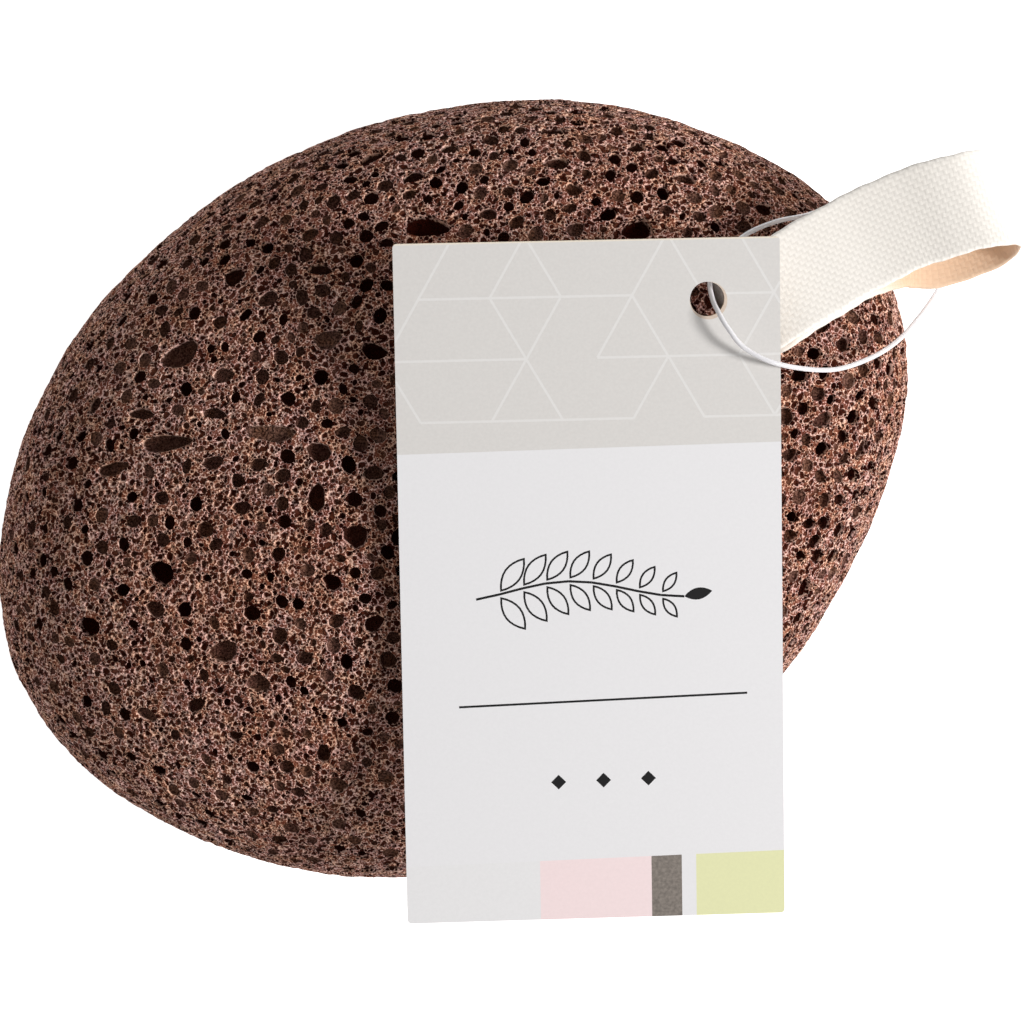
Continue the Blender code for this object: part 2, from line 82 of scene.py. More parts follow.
# Pits on the crown: x, y, length, width, turn in degrees, and depth as a share of the width
CROWN_PITS = (
    (-29.4, -8.5, 2.9, 2.7, 0, 0.8),
    (-37.0, -14.0, 2.9, 2.3, 20, 0.8),
    (-23.1, -16.5, 3.5, 2.3, 10, 0.4),
    (-30.0, -12.2, 2.2, 1.9, 0, 0.5),
    (-12.0, -9.4, 2.0, 1.9, 0, 0.7),
    (-9.6, -4.8, 2.8, 2.5, 30, 0.5),
    (-13.5, -0.9, 3.0, 2.1, 80, 0.6),
    (-21.1, -1.9, 2.1, 1.4, 15, 0.7),
    (-21.5, 0.8, 1.7, 1.5, 0, 0.7),
    (-17.4, -6.6, 1.9, 1.4, 60, 0.8),
    (-7.8, -13.6, 2.3, 1.8, 25, 0.7),
    (-19.6, -19.7, 2.6, 2.1, 0, 0.4),
    (-26.0, -22.0, 2.3, 1.6, 30, 0.7),
    (-9.7, -20.5, 2.1, 1.6, 140, 0.7),
    (-6.4, -17.3, 2.1, 1.8, 0, 0.6),
    (-13.1, -27.0, 2.2, 1.6, 70, 0.7),
    (-22.1, -25.2, 1.7, 1.2, 0, 0.9),
    (-31.2, -23.0, 2.6, 1.5, 150, 0.5),
    (-11.7, -30.2, 2.3, 1.8, 0, 0.4),
    (-29.0, 4.6, 6.4, 1.7, 4, 0.6),
    (-18.2, 5.6, 5.0, 1.9, 172, 0.35),
    (-34.4, 2.0, 3.8, 1.5, 5, 0.6),
    (-24.0, 2.6, 2.5, 1.5, 20, 0.6),
    (-19.4, 2.4, 2.0, 1.5, 0, 0.6),
    (-13.3, 3.7, 2.7, 2.2, 160, 0.5),
    (-7.7, 1.5, 2.1, 1.7, 0, 0.6),
    (-31.4, 7.6, 3.2, 1.2, 170, 0.8),
    (-23.9, 7.6, 2.9, 1.2, 175, 0.8),
    (-16.4, 9.0, 1.8, 1.6, 0, 0.8),
    (-36.4, 8.6, 2.1, 1.4, 40, 0.7),
    (-27.6, 13.6, 4.8, 2.6, 30, 0.4),
    (-23.0, 11.4, 2.6, 1.5, 10, 0.5),
    (-13.3, 22.1, 2.8, 1.3, 176, 0.9),
    (-22.2, 21.6, 2.7, 2.1, 30, 0.6),
    (-18.6, 19.2, 2.4, 1.8, 35, 0.5),
    (-7.8, 13.7, 2.7, 2.0, 165, 0.8),
    (-12.4, 14.9, 3.2, 2.1, 5, 0.35),
    (-14.5, 25.8, 2.0, 1.7, 0, 0.5),
    (-19.6, 27.3, 2.3, 1.6, 30, 0.5),
    (-8.2, 34.0, 3.6, 1.5, 32, 0.8),
    (-4.0, 31.7, 2.4, 1.7, 20, 0.7),
    (-0.3, 34.6, 2.1, 1.5, 0, 0.6),
    (10.0, 36.6, 3.2, 1.4, 8, 0.8),
    (10.5, 33.0, 2.8, 1.8, 170, 0.6),
    (12.2, 30.1, 2.1, 1.5, 160, 0.6),
    (-2.7, 26.4, 4.7, 2.6, 176, 0.6),
    (18.6, 26.0, 3.6, 2.2, 10, 0.8),
    (3.6, 27.5, 1.9, 1.6, 0, 0.6),
    (12.3, 25.9, 2.1, 1.6, 0, 0.5),
    (18.7, 34.9, 2.3, 1.5, 20, 0.7),
    (23.6, 31.6, 2.6, 1.5, 160, 0.7),
    (35.0, 11.4, 1.9, 1.7, 0, 0.9),
    (39.6, 14.6, 1.9, 1.6, 0, 0.7),
    (37.4, 6.9, 2.5, 1.6, 30, 0.6),
    (34.0, 3.4, 2.0, 1.4, 0, 0.7),
    (41.8, 4.0, 2.4, 1.6, 60, 0.7),
    (36.0, -10.2, 2.6, 2.0, 95, 0.7),
    (34.2, -4.8, 1.9, 1.4, 0, 0.7),
)
# Shallow bites out of the rim, which notch the outline: azimuth, height, length, width, turn and depth share
RIM_BITES = (
    (96.0, 25.0, 3.4, 2.6, 60, 0.4),
    (71.0, 26.0, 3.2, 2.4, 110, 0.4),
    (6.0, 24.0, 3.6, 2.6, 40, 0.4),
)
SCATTERED_PITS = 118
SCATTERED_LENGTH = (2.0, 3.8)
SCATTERED_SHAPE = (0.6, 0.95)
SCATTERED_SHARE = (0.4, 0.8)
SCATTERED_TOP = 22.0
PIT_GAP = 0.8
PIT_WAVE = 0.09

# The slot that the loop is glued in
SLOT_MOUTH = (28.8, 17.3, 39.2)
SLOT_AXIS = (0.40, 0.17, 0.90)
SLOT_LENGTH = 11.8
SLOT_WIDTH = 3.2
SLOT_DEPTH = 12.0
SLOT_END_STEPS = 9
SLOT_SEARCH_STEPS = 30
SLOT_FLOOR_SHARE = 0.6

# The cotton tape: each point gives x, y, z and the way the tape's width runs
TAPE_WIDTH = 10.0
TAPE_THICKNESS = 0.6
SELVEDGE_SHARE = 0.12
WEAVE_RELIEF = 0.02
WEAVE_ROOM = 0.04
# The selvedges wander in two waves: size, pace from row to row and start of each, felt only near the edges
SELVEDGE_WANDER = ((0.05, 0.21, 0.0), (0.03, 0.57, 1.0))
WANDER_POWER = 6
# The inside face turns tan with painted warm bounce light past this x, where the loop stands open, over this
# run
TAN_START = 40.0
TAN_RUN = 5.0
TAN_LEAST = 0.15
TAPE_COURSE = (
    (23.74, 15.14, 28.9, 23.5),
    (25.9, 16.06, 33.8, 23.5),
    (27.9, 16.91, 38.3, 23.5),
    (28.5, 17.3, 40.6, 23.5),
    (30.2, 18.3, 42.2, 24.0),
    (33.0, 20.0, 42.2, 25.0),
    (37.2, 22.6, 41.0, 26.0),
    (41.4, 24.9, 39.8, 26.0),
    (45.6, 26.9, 39.2, 25.0),
    (49.6, 28.2, 39.0, 23.5),
    (52.6, 29.0, 38.4, 22.5),
    (54.7, 29.3, 36.9, 22.0),
    (55.6, 29.0, 34.5, 21.5),
    (54.9, 28.1, 32.0, 20.5),
    (53.0, 26.9, 30.7, 19.0),
    (49.4, 25.7, 30.3, 17.5),
    (45.6, 25.5, 31.3, 19.5),
    (41.6, 24.5, 33.9, 22.0),
    (38.0, 22.6, 36.9, 24.0),
    (34.9, 20.7, 39.3, 24.0),
    (32.6, 19.3, 40.6, 24.0),
    (30.8, 18.1, 40.7, 23.5),
    (29.5, 17.6, 39.8, 23.5),
    (28.9, 17.35, 38.3, 23.5),
    (26.9, 16.5, 33.8, 23.5),
    (24.74, 15.58, 28.9, 23.5),
)

# The card hang tag
TAG_WIDTH = 38.0
TAG_HEIGHT = 68.0
TAG_THICKNESS = 0.5
TAG_CORNER_RADIUS = 0.4
TAG_CORNER_STEPS = 9
TAG_CENTRE = (13.9, -9.4, 41.6)
TAG_RIGHT = (0.9986, 0.0242, -0.0468)
TAG_UP = (-0.0222, 0.9913, 0.13)
TAG_HOLE = (11.8, 28.0)
TAG_HOLE_DIAMETER = 3.4
TAG_HOLE_SIDES = 40

# The nylon ring
RING_COURSE = (
    (25.7, 18.7, 44.8),
    (26.2, 17.3, 46.0),
    (27.2, 15.6, 46.2),
    (28.9, 13.7, 45.7),
    (32.3, 12.2, 44.7),
    (37.6, 11.8, 41.2),
    (41.9, 13.1, 37.5),
    (45.2, 15.1, 34.0),
    (47.8, 17.8, 31.2),
    (49.9, 20.6, 29.2),
    (51.6, 23.8, 28.2),
    (51.3, 27.0, 27.9),
    (48.6, 29.2, 28.3),
    (44.6, 29.8, 29.6),
    (40.3, 29.4, 31.8),
    (36.0, 27.8, 34.6),
    (32.6, 26.9, 37.2),
    (29.4, 25.4, 39.6),
    (27.0, 23.2, 41.8),
    (25.6, 20.7, 43.5),
)


# Sizes and colours that a user would change

class StoneSettings(bpy.types.PropertyGroup):
    cell_spacing: FloatProperty(
        name="Cell spacing",
        description="Least distance between the middles of two small foam cells",
        default=0.00070,
        precision=5,
        unit="LENGTH",
    )
    pore_count: IntProperty(
        name="Round pores",
        description="Round pores thrown between the large pits",
        default=9500,
    )
    pore_radius: FloatProperty(
        name="Largest pore radius",
        description="Radius of the largest round pore",
        default=0.00095,
        precision=5,
        unit="LENGTH",
    )
    # The rim colour is the pale ground stone with a painted highlight along the hole edges.
    rim_and_highlight_colour: StringProperty(name="Rim", description="Ground rims, sRGB hex", default="#FFD9CA")
    wall_colour: StringProperty(name="Wall", description="Walls below the rims, sRGB hex", default="#5F3327")
    # The deep colour is painted shade at the bottoms of deep pores.
    deep_shade_colour: StringProperty(name="Deep", description="Deep bottoms, sRGB hex", default="#300D05")


class TapeSettings(bpy.types.PropertyGroup):
    thread_pitch: FloatProperty(
        name="Thread pitch",
        description="Distance between neighbouring threads of the weave",
        default=0.00046,
        precision=5,
        unit="LENGTH",
    )
    cotton_colour: StringProperty(name="Cotton", description="Unbleached cotton, sRGB hex", default="#F0EAE2")
    # The tan of the inside face is painted warm bounce light.
    inside_light_colour: StringProperty(name="Reverse", description="Inside face, sRGB hex", default="#E8C8AA")


class TagSettings(bpy.types.PropertyGroup):
    card_colour: StringProperty(name="Card", description="White of the card, sRGB hex", default="#F2F0F1")
    header_colour: StringProperty(name="Header", description="Header band, sRGB hex", default="#E3DFDB")
    pink_colour: StringProperty(name="Pink", description="Pink stripe, sRGB hex", default="#FDE7E7")
    slate_colour: StringProperty(name="Slate", description="Dark stripe, sRGB hex", default="#8A8179")
    lime_colour: StringProperty(name="Lime", description="Green stripe, sRGB hex", default="#EDEDBB")
    board_colour: StringProperty(name="Board", description="Cut edge, sRGB hex", default="#CDB594")


class RingSettings(bpy.types.PropertyGroup):
    diameter: FloatProperty(
        name="Filament",
        description="Diameter of the nylon filament",
        default=0.0005,
        precision=5,
        unit="LENGTH",
    )


class StageSettings(bpy.types.PropertyGroup):
    camera_place: FloatVectorProperty(
        name="Camera",
        description="Where the camera stands, looking straight down",
        default=(0.00601, -0.00232, 0.371),
        subtype="TRANSLATION",
        unit="LENGTH",
    )
    lens: FloatProperty(name="Lens", description="Focal length in millimetres", default=116.67)
    key_power: FloatProperty(
        name="Key light",
        description="Power of the soft key light",
        default=8.2,
        unit="POWER",
    )
    fill: FloatProperty(name="Fill", description="Strength of the white surroundings", default=0.34)


# Small helpers

def linear(hex_colour):
    """An sRGB hex colour as linear red, green, blue and alpha."""
    values = [int(hex_colour[i:i + 2], 16) / 255 for i in (1, 3, 5)]
    return (*(v / 12.92 if v <= 0.04045 else ((v + 0.055) / 1.055) ** 2.4 for v in values), 1.0)


def add_node(tree, kind, inputs=None, **settings):
    """Adds a node with its settings; an input takes a socket, a node's first output or a value."""
    node = tree.nodes.new(kind)
    for name, value in settings.items():
        setattr(node, name, value)
    for key, value in (inputs or {}).items():
        if isinstance(value, bpy.types.Node):
            value = value.outputs[0]
        if isinstance(value, bpy.types.NodeSocket):
            tree.links.new(value, node.inputs[key])
        else:
            node.inputs[key].default_value = value
    return node


def set_ramp(node, stops):
    """Gives a colour ramp its stops: place and linear colour."""
    elements = node.color_ramp.elements
    while len(elements) < len(stops):
        elements.new(0.5)
    for element, (place, colour) in zip(elements, stops):
        element.position = place
        element.color = colour
    return node


def new_material(name, roughness, **sockets):
    """A material with a Principled shader; returns it, its tree and the shader."""
    material = bpy.data.materials.new(name)
    material.use_nodes = True
    tree = material.node_tree
    shader = tree.nodes["Principled BSDF"]
    shader.inputs["Roughness"].default_value = roughness
    for key, value in sockets.items():
        shader.inputs[key.replace("_", " ")].default_value = value
    return material, tree, shader


def add_object(name, data, *materials):
    """Links a new object for the data into the scene, with its materials in order."""
    thing = bpy.data.objects.new(name, data)
    bpy.context.scene.collection.objects.link(thing)
    for material in materials:
        data.materials.append(material)
    return thing


def new_tree(name, inputs):
    """A geometry tree with a geometry socket at each end and the given inputs: name, type and default."""
    tree = bpy.data.node_groups.new(name, "GeometryNodeTree")
    tree.interface.new_socket("Geometry", in_out="INPUT", socket_type="NodeSocketGeometry")
    for label, kind, default in inputs:
        socket = tree.interface.new_socket(label, in_out="INPUT", socket_type=kind)
        if default is not None:
            socket.default_value = default
    tree.interface.new_socket("Geometry", in_out="OUTPUT", socket_type="NodeSocketGeometry")
    return tree, tree.nodes.new("NodeGroupInput"), tree.nodes.new("NodeGroupOutput")


def close_tree(tree, geometry, material, out):
    """Ends a tree in Realize Instances and Set Material."""
    real = add_node(tree, "GeometryNodeRealizeInstances", {"Geometry": geometry})
    made = add_node(tree, "GeometryNodeSetMaterial", {"Geometry": real, "Material": material})
    tree.links.new(made.outputs[0], out.inputs[0])


def grow(carrier, tree, values):
    """Runs a tree on an object with the values for its inputs, and returns the result as a plain mesh."""
    modifier = carrier.modifiers.new("grown", "NODES")
    modifier.node_group = tree
    identifiers = {item.name: item.identifier for item in tree.interface.items_tree if item.in_out == "INPUT"}
    for label, value in values.items():
        modifier[identifiers[label]] = value
    graph = bpy.context.evaluated_depsgraph_get()
    mesh = bpy.data.meshes.new_from_object(carrier.evaluated_get(graph))
    carrier.modifiers.remove(modifier)
    return mesh


def unit(vectors):
    """The vectors, each scaled to length 1."""
    return vectors / np.linalg.norm(vectors, axis=-1)[..., None]


# The pebble's own surface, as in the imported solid

def outline_radius(azimuth):
    """The outline's radius at each azimuth: the smooth closed curve through OUTLINE_RADII."""
    waves = np.fft.rfft(OUTLINE_RADII) / len(OUTLINE_RADII)
    waves[1:-1] *= 2
    turns = np.exp(1j * np.outer(azimuth, np.arange(len(waves))))
    return (turns @ waves).real


def swell(directions):
    """Slow swells of the worn surface, as a share of the distance from the stone's middle."""
    x, y, z = directions.T
    waves = np.sin(4.1 * x + 1.3 * y + 0.6) + np.sin(3.7 * y - 2.3 * z + 2.1)
    waves += np.sin(5.3 * z + 3.1 * x + 4.0)
    return SWELL * waves / 3


def stone_surface(directions):
    """The worn pebble without its pits, at each direction from its middle."""
    azimuth = np.arctan2(directions[:, 1], directions[:, 0])
    level = np.hypot(directions[:, 0], directions[:, 1])
    rise = directions[:, 2]
    half_height = np.where(rise > 0, CROWN_HEIGHT, KEEL_HEIGHT)
    roundness = np.where(rise > 0, CROWN_ROUNDNESS, KEEL_ROUNDNESS)
    plan_share = (level / outline_radius(azimuth)) ** roundness
    height_share = (np.abs(rise) / half_height) ** roundness
    reach = (plan_share + height_share) ** (-1 / roundness) * (1 + swell(directions))
    points = directions * reach[:, None]
    lean = np.clip(points[:, 2] / CROWN_HEIGHT, 0, None) ** 2
    points[:, :2] += lean[:, None] * np.array(CREST_SHIFT)
    points[:, 2] = np.maximum(points[:, 2] + EQUATOR_HEIGHT, 0)
    return points


def from_middle(points):
    """The offset of each point from the stone's middle, with the crown's lean taken out."""
    offsets = points - np.array((0, 0, EQUATOR_HEIGHT))
    lean = np.clip(offsets[:, 2] / CROWN_HEIGHT, 0, None) ** 2
    offsets[:, :2] -= lean[:, None] * np.array(CREST_SHIFT)
    return offsets


def stone_directions(points):
    """The direction from the stone's middle to each point on or near its surface."""
    return unit(from_middle(points))


def stone_normals(directions):
    """Outward normals of the pebble, from three close points of its surface."""
    upright = np.abs(directions[:, 2:]) >= ALONG_AXIS
    aside = unit(np.cross(directions, np.where(upright, (1, 0, 0), (0, 0, 1))))
    across = np.cross(directions, aside)
    middle = stone_surface(directions)
    first = stone_surface(unit(directions + NORMAL_STEP * aside)) - middle
    second = stone_surface(unit(directions + NORMAL_STEP * across)) - middle
    return unit(np.cross(first, second))


def crown_point(x, y):
    """The direction to the crown's surface above the plan position x, y."""
    height = CROWN_HEIGHT * CROWN_SEARCH_START
    for _ in range(CROWN_SEARCH_STEPS):
        lean = (height / CROWN_HEIGHT) ** 2
        plan = np.array((x, y)) - lean * np.array(CREST_SHIFT)
        share = np.hypot(*plan) / outline_radius(np.array([math.atan2(plan[1], plan[0])]))[0]
        target = CROWN_HEIGHT * max(1 - share**CROWN_ROUNDNESS, 0) ** (1 / CROWN_ROUNDNESS)
        height += CROWN_SEARCH_PACE * (target - height)
    return stone_directions(np.array([(x, y, height + EQUATOR_HEIGHT)]))[0]


def flank_point(azimuth, height):
    """The direction to the flank's surface at an azimuth in degrees and a height over the rest face."""
    angle = math.radians(azimuth)
    radius = outline_radius(np.array([angle]))[0]
    return stone_directions(np.array([(radius * math.cos(angle), radius * math.sin(angle), height)]))[0]


def make_pit(direction, length, width, turn, depth_share, phase):
    """A pit's centre and the two half axes of its mouth, which lie in the surface."""
    centre = stone_surface(direction[None])[0]
    normal = stone_normals(direction[None])[0]
    seed_axis = np.array((math.cos(math.radians(turn)), math.sin(math.radians(turn)), 0.0))
    if abs(seed_axis @ normal) > ALONG_AXIS:
        seed_axis = np.array((0.0, 0.0, 1.0))
    along = seed_axis - (seed_axis @ normal) * normal
    along /= np.linalg.norm(along)
    across = np.cross(normal, along)
    return {
        "centre": centre,
        "along": along * length / 2,
        "across": across * width / 2,
        "length": length,
        "depth": depth_share * width,
        "phase": phase,
    }


def scatter_pits(rng, placed):
    """More pits over the flanks and the underside, clear of those placed and the middle of the rest face."""
    pits = list(placed)
    while len(pits) < len(placed) + SCATTERED_PITS:
        direction = np.array([rng.gauss(0, 1) for _ in range(3)])
        direction /= np.linalg.norm(direction)
        point = stone_surface(direction[None])
        direction = stone_directions(point)[0]
        length = rng.uniform(*SCATTERED_LENGTH)
        width = length * rng.uniform(*SCATTERED_SHAPE)
        turn = rng.uniform(0, 180)
        share = rng.uniform(*SCATTERED_SHARE)
        phase = rng.uniform(0, 2 * math.pi)
        blocked = point[0, 2] > SCATTERED_TOP or np.linalg.norm(point[0]) < REST_RING_RADIUS + length
        crowded = any(
            np.linalg.norm(point[0] - pit["centre"]) < (length + pit["length"]) / 2 + PIT_GAP for pit in pits
        )
        if not blocked and not crowded:
            pits.append(make_pit(direction, length, width, turn, share, phase))
    return pits


# The foam: round pores in a skin of small cells

FLOOR_HEIGHT_STRETCH = 1.5
POLE_RING_RADIUS = 0.8
POLE_RING_SIDES = 6
POLE_SHADE = 0.3
PEBBLE_SUBDIVISIONS = 6
# Round pores keep this many of a pit's radii from its middle, and small cells the next number
PIT_EDGE = 1.24
PIT_CELL_EDGE = 1.06
# The least distance from a pit's middle, in its radii, so that nothing is divided by zero
PIT_LEAST_STEPS = 0.01
# How far round a pit its pores and cells are looked for
PIT_PORE_REACH = 3.0
PIT_CELL_REACH = 1.0
# A ring down a pit moves aside by this share of how much narrower it is than the mouth
PIT_SHIFT = 0.45
PIT_RIM_WAVE = 0.05
PIT_WALL_WAVE = 0.14
PIT_FLOOR_SPREAD = 0.2
PIT_FLOOR_DEPTH = (0.9, 1.05)
PIT_SIDE_LENGTH = 0.34
PIT_SIDES = (9, 22)
FLOOR_POINTS = 5
PORE_GAP = 0.12
PORE_CLEARANCE = 0.8
PORE_HEART = 0.5
PORE_OVAL = 0.07
PORE_RIM_WAVE = 0.05
PORE_JITTER = 0.3
SLOT_GAP = 0.6
CELL_GAP = 0.16
CELL_DEPTH = (0.1, 0.5)
CELL_SHADE = (0.4, 1.2)
RIM_DEPTH = 0.4
# The foam is coarse towards the top right of the crown and fine at the lower left and underneath
COARSE_SLOPE = (0.0135, 0.016)
COARSE_MIDDLE = 0.5
COARSE_LEAST = 0.2
COARSE_SHADE = 0.3
# The higher the power, the rarer are wide pores, and coarse foam lowers it by up to the next value
PORE_POWER = 3.4
COARSE_POWER = 1.5
SMALLEST_PORE = 0.38
WIDE_PORE = 0.56
WIDE_PORE_SIDES = 8
NARROW_PORE_SIDES = 7
PORE_SQUEEZE = (0.72, 1.0)
PORE_SHADE = (1.2, 2.6)
# How deep a pore is as a share of its radius, and how often that is so
PORE_SHARES = (0.6, 1.0, 1.5, 1.9)
PORE_ODDS = (0.28, 0.3, 0.26, 0.16)
FINE_PORE_SHARE = 0.35
COARSE_THINNING = 0.35
RIDGE_RELIEF = 0.07
SLOW_RELIEF = 0.1
SLOW_WAVELENGTH = 7.0
SLOW_WAVES = 12
SLOW_SPREAD = (0.6, 1.5)
SLOW_SCALE = 5
SKIN_SINK = 0.12
FLAT_HEIGHT = 0.01
JOIN_TOLERANCE = 1e-9
# Dust lies in shallow holes: in a pit by its depth, in a pore by its depth as a share of its radius
PIT_DUST = (1.9, 1.4)
PORE_DUST = 1.6
# Cells thin out to this share underneath, where a normal's Z falls from the second value to the first
UNDERSIDE_CELLS = 0.5
UNDERSIDE_NORMALS = (-0.8, -0.1)
MOST_CELLS = 2.0e7
# Each ring of a hole: its size as a share of the mouth, its share of the depth, and its shade
PIT_RINGS = ((1.0, 0.0, 0.0), (0.93, 0.34, 0.32), (0.8, 0.72, 0.7), (0.52, 0.95, 1.0))
WIDE_PORE_RINGS = ((1.0, 0.0, 0.0), (0.84, 0.62, 1.0))
NARROW_PORE_RINGS = ((1.0, 0.0, 0.0),)


def spread_flat(places):
    """Opens the pebble out flat, seen from the middle of its rest face, so that close points stay close."""
    offsets = from_middle(places)
    offsets[:, 2] *= FLOOR_HEIGHT_STRETCH
    directions = unit(offsets)
    return directions[:, :2] / (1 + directions[:, 2:])


def scatter_tree():
    """Scatters evenly spaced points over a mesh, fewer of them on its underside."""
    tree, start, out = new_tree("cells over the pebble", [
        ("Spacing", "NodeSocketFloat", 0.0007),
        ("Underside share", "NodeSocketFloat", UNDERSIDE_CELLS),
        ("Seed", "NodeSocketInt", SEED),
        ("Material", "NodeSocketMaterial", None),
    ])
    normal = add_node(tree, "GeometryNodeInputNormal")
    parts = add_node(tree, "ShaderNodeSeparateXYZ", {0: normal})
    share = add_node(tree, "ShaderNodeMapRange", {
        "Value": parts.outputs["Z"],
        "From Min": UNDERSIDE_NORMALS[0],
        "From Max": UNDERSIDE_NORMALS[1],
        "To Min": start.outputs["Underside share"],
        "To Max": 1.0,
    })
    dots = add_node(tree, "GeometryNodeDistributePointsOnFaces", {
        "Mesh": start,
        "Distance Min": start.outputs["Spacing"],
        "Density Max": MOST_CELLS,
        "Density Factor": share,
        "Seed": start.outputs["Seed"],
    }, distribute_method="POISSON")
    corners = add_node(tree, "GeometryNodePointsToVertices", {0: dots.outputs["Points"]})
    close_tree(tree, corners.outputs[0], start.outputs["Material"], out)
    return tree


def cell_middles(spacing, material):
    """Evenly scattered middles of the small cells, in millimetres on the pebble's surface."""
    shape = bmesh.new()
    bmesh.ops.create_icosphere(shape, subdivisions=PEBBLE_SUBDIVISIONS, radius=1)
    points = stone_surface(unit(np.array([corner.co for corner in shape.verts])))
    for corner, point in zip(shape.verts, points):
        corner.co = Vector(point) * MM
    mesh = bpy.data.meshes.new("plain pebble")
    shape.to_mesh(mesh)
    shape.free()
    carrier = add_object("plain_pebble", mesh)
    grown = grow(carrier, scatter_tree(), {"Spacing": spacing, "Seed": SEED, "Material": material})
    bpy.data.objects.remove(carrier)
    places = np.zeros(len(grown.vertices) * 3)
    grown.vertices.foreach_get("co", places)
    return stone_surface(stone_directions(places.reshape(-1, 3) / MM))


def slot_frame():
    """The slot's mouth, its axis, and the directions along and across its mouth."""
    axis = unit(np.array(SLOT_AXIS))
    angle = math.radians(TAPE_COURSE[0][3] + 90)
    along = np.array((math.cos(angle), math.sin(angle), 0.0))
    along = unit(along - (along @ axis) * axis)
    return np.array(SLOT_MOUTH), axis, along, np.cross(axis, along)


def outside_slot(places, margin):
    """How far each place lies outside the slot's round-ended mouth, less the margin."""
    mouth, axis, along, across = slot_frame()
    offsets = places - mouth
    reach = np.maximum(np.abs(offsets @ along) - (SLOT_LENGTH - SLOT_WIDTH) / 2, 0)
    distance = np.hypot(reach, offsets @ across) - SLOT_WIDTH / 2 - margin
    return np.where(np.linalg.norm(offsets, axis=1) < SLOT_DEPTH, distance, SLOT_DEPTH)


def around_pit(places, pit, margin):
    """The places near a pit, their distance from its middle counted in its own radii, and in millimetres."""
    offsets = places - pit["centre"]
    reach = np.linalg.norm(offsets, axis=1)
    near = np.flatnonzero(reach < pit["length"] / 2 * PIT_EDGE + margin)
    along = offsets[near] @ pit["along"] / (pit["along"] @ pit["along"])
    across = offsets[near] @ pit["across"] / (pit["across"] @ pit["across"])
    return near, np.maximum(np.hypot(along, across), PIT_LEAST_STEPS), reach[near]


def coarseness(places):
    """How coarse the foam is at each place, from 0 to 1."""
    across = np.clip(COARSE_MIDDLE + places[:, :2] @ np.array(COARSE_SLOPE), 0, 1)
    return across * np.clip(places[:, 2] / EQUATOR_HEIGHT, COARSE_LEAST, 1)


def throw_pores(rng, places, pits, count, largest):
    """Middles and radii of round pores, widest first, clear of the pits, slot, pole and each other."""
    coarse = coarseness(places)
    centres = np.zeros((count + 1, 3))
    radii = np.zeros(count + 1)
    radii[0] = POLE_RING_RADIUS + PORE_GAP
    used = 1
    free = outside_slot(places, SLOT_GAP)
    for pit in pits:
        near, steps, reach = around_pit(places, pit, PIT_PORE_REACH)
        room = PORE_CLEARANCE * reach * (1 - PIT_EDGE / steps) - PORE_GAP
        free[near] = np.minimum(free[near], room)
    chances = rng.random(len(places)) ** (PORE_POWER - COARSE_POWER * coarse)
    sizes = SMALLEST_PORE + (largest - SMALLEST_PORE) * chances
    wanted = (free > sizes) & (rng.random(len(places)) < FINE_PORE_SHARE + coarse)
    order = np.argsort(-sizes)
    for index in order[wanted[order]]:
        if used == len(centres):
            break
        gaps = np.linalg.norm(centres[:used] - places[index], axis=1) - radii[:used]
        if gaps.min() > sizes[index] + PORE_GAP:
            centres[used] = places[index]
            radii[used] = sizes[index]
            used += 1
    return centres[1:used], radii[1:used]


class Skin:
    """The stone's points as they are added, each with its place on the skin and what belongs to it.

    Depth is how far it lies below the skin and hollow how deep its whole hole is, in millimetres. Shade is 0
    on a rim and rises inwards. Site numbers the hole. Dust is 0 to 1. Loops are the edges of rims and rings.
    """

    def __init__(self):
        names = ("places", "depths", "shades", "sites", "ridges", "dusts", "hollows")
        self.columns = {name: [] for name in names}
        self.loops = []
        self.size = 0

    def add(self, places, depths, shades, sites, ridge, dust=0.0, hollow=RIM_DEPTH):
        """Adds points and returns their numbers."""
        places = stone_surface(stone_directions(np.atleast_2d(places)))
        count = len(places)
        marks = (np.broadcast_to(values, count) for values in (depths, shades, sites, ridge, dust, hollow))
        for column, values in zip(self.columns.values(), (places, *marks)):
            column.append(values)
        self.size += count
        return np.arange(self.size - count, self.size)

    def joined(self, name):
        """One array of what was added under a name."""
        return np.concatenate(self.columns[name])


def ring_loops(indices):
    """The closed loops of edges through rows of point indices."""
    return np.stack((indices, np.roll(indices, -1, axis=1)), axis=-1).reshape(-1, 2)


def add_pit(skin, pit, site, rng):
    """One large pit: a rim, three rings down its wall and a floor."""
    sides = int(np.clip(round(pit["length"] / PIT_SIDE_LENGTH), *PIT_SIDES))
    angles = 2 * math.pi * np.arange(sides) / sides
    wave = 1 + PIT_WAVE * np.sin(2 * angles + pit["phase"]) + PIT_WAVE * np.sin(3 * angles + 2 * pit["phase"])
    offsets = np.outer(np.cos(angles), pit["along"]) + np.outer(np.sin(angles), pit["across"])
    dust = np.clip(PIT_DUST[0] - PIT_DUST[1] * pit["depth"], 0, 1)
    ragged = 1 + rng.uniform(-PIT_RIM_WAVE, PIT_RIM_WAVE, sides)
    for scale, share, shade in PIT_RINGS:
        aside = PIT_SHIFT * (1 - scale) * pit["across"]
        uneven = rng.uniform(-PIT_WALL_WAVE, PIT_WALL_WAVE, sides) if share else 0
        sunk = share * pit["depth"] * (1 + uneven)
        places = pit["centre"] + aside + (scale * wave * ragged)[:, None] * offsets
        loop = skin.add(places, sunk, shade, site, share == 0, dust * (share > 0), pit["depth"])
        skin.loops.append(ring_loops(loop[None]))
    aside = rng.uniform(-PIT_FLOOR_SPREAD, PIT_FLOOR_SPREAD, (FLOOR_POINTS, 2))
    floor = pit["centre"] + aside[:, :1] * pit["along"] + aside[:, 1:] * pit["across"]
    depths = pit["depth"] * rng.uniform(*PIT_FLOOR_DEPTH, FLOOR_POINTS)
    skin.add(floor, depths, 1.0, site, False, dust, pit["depth"])


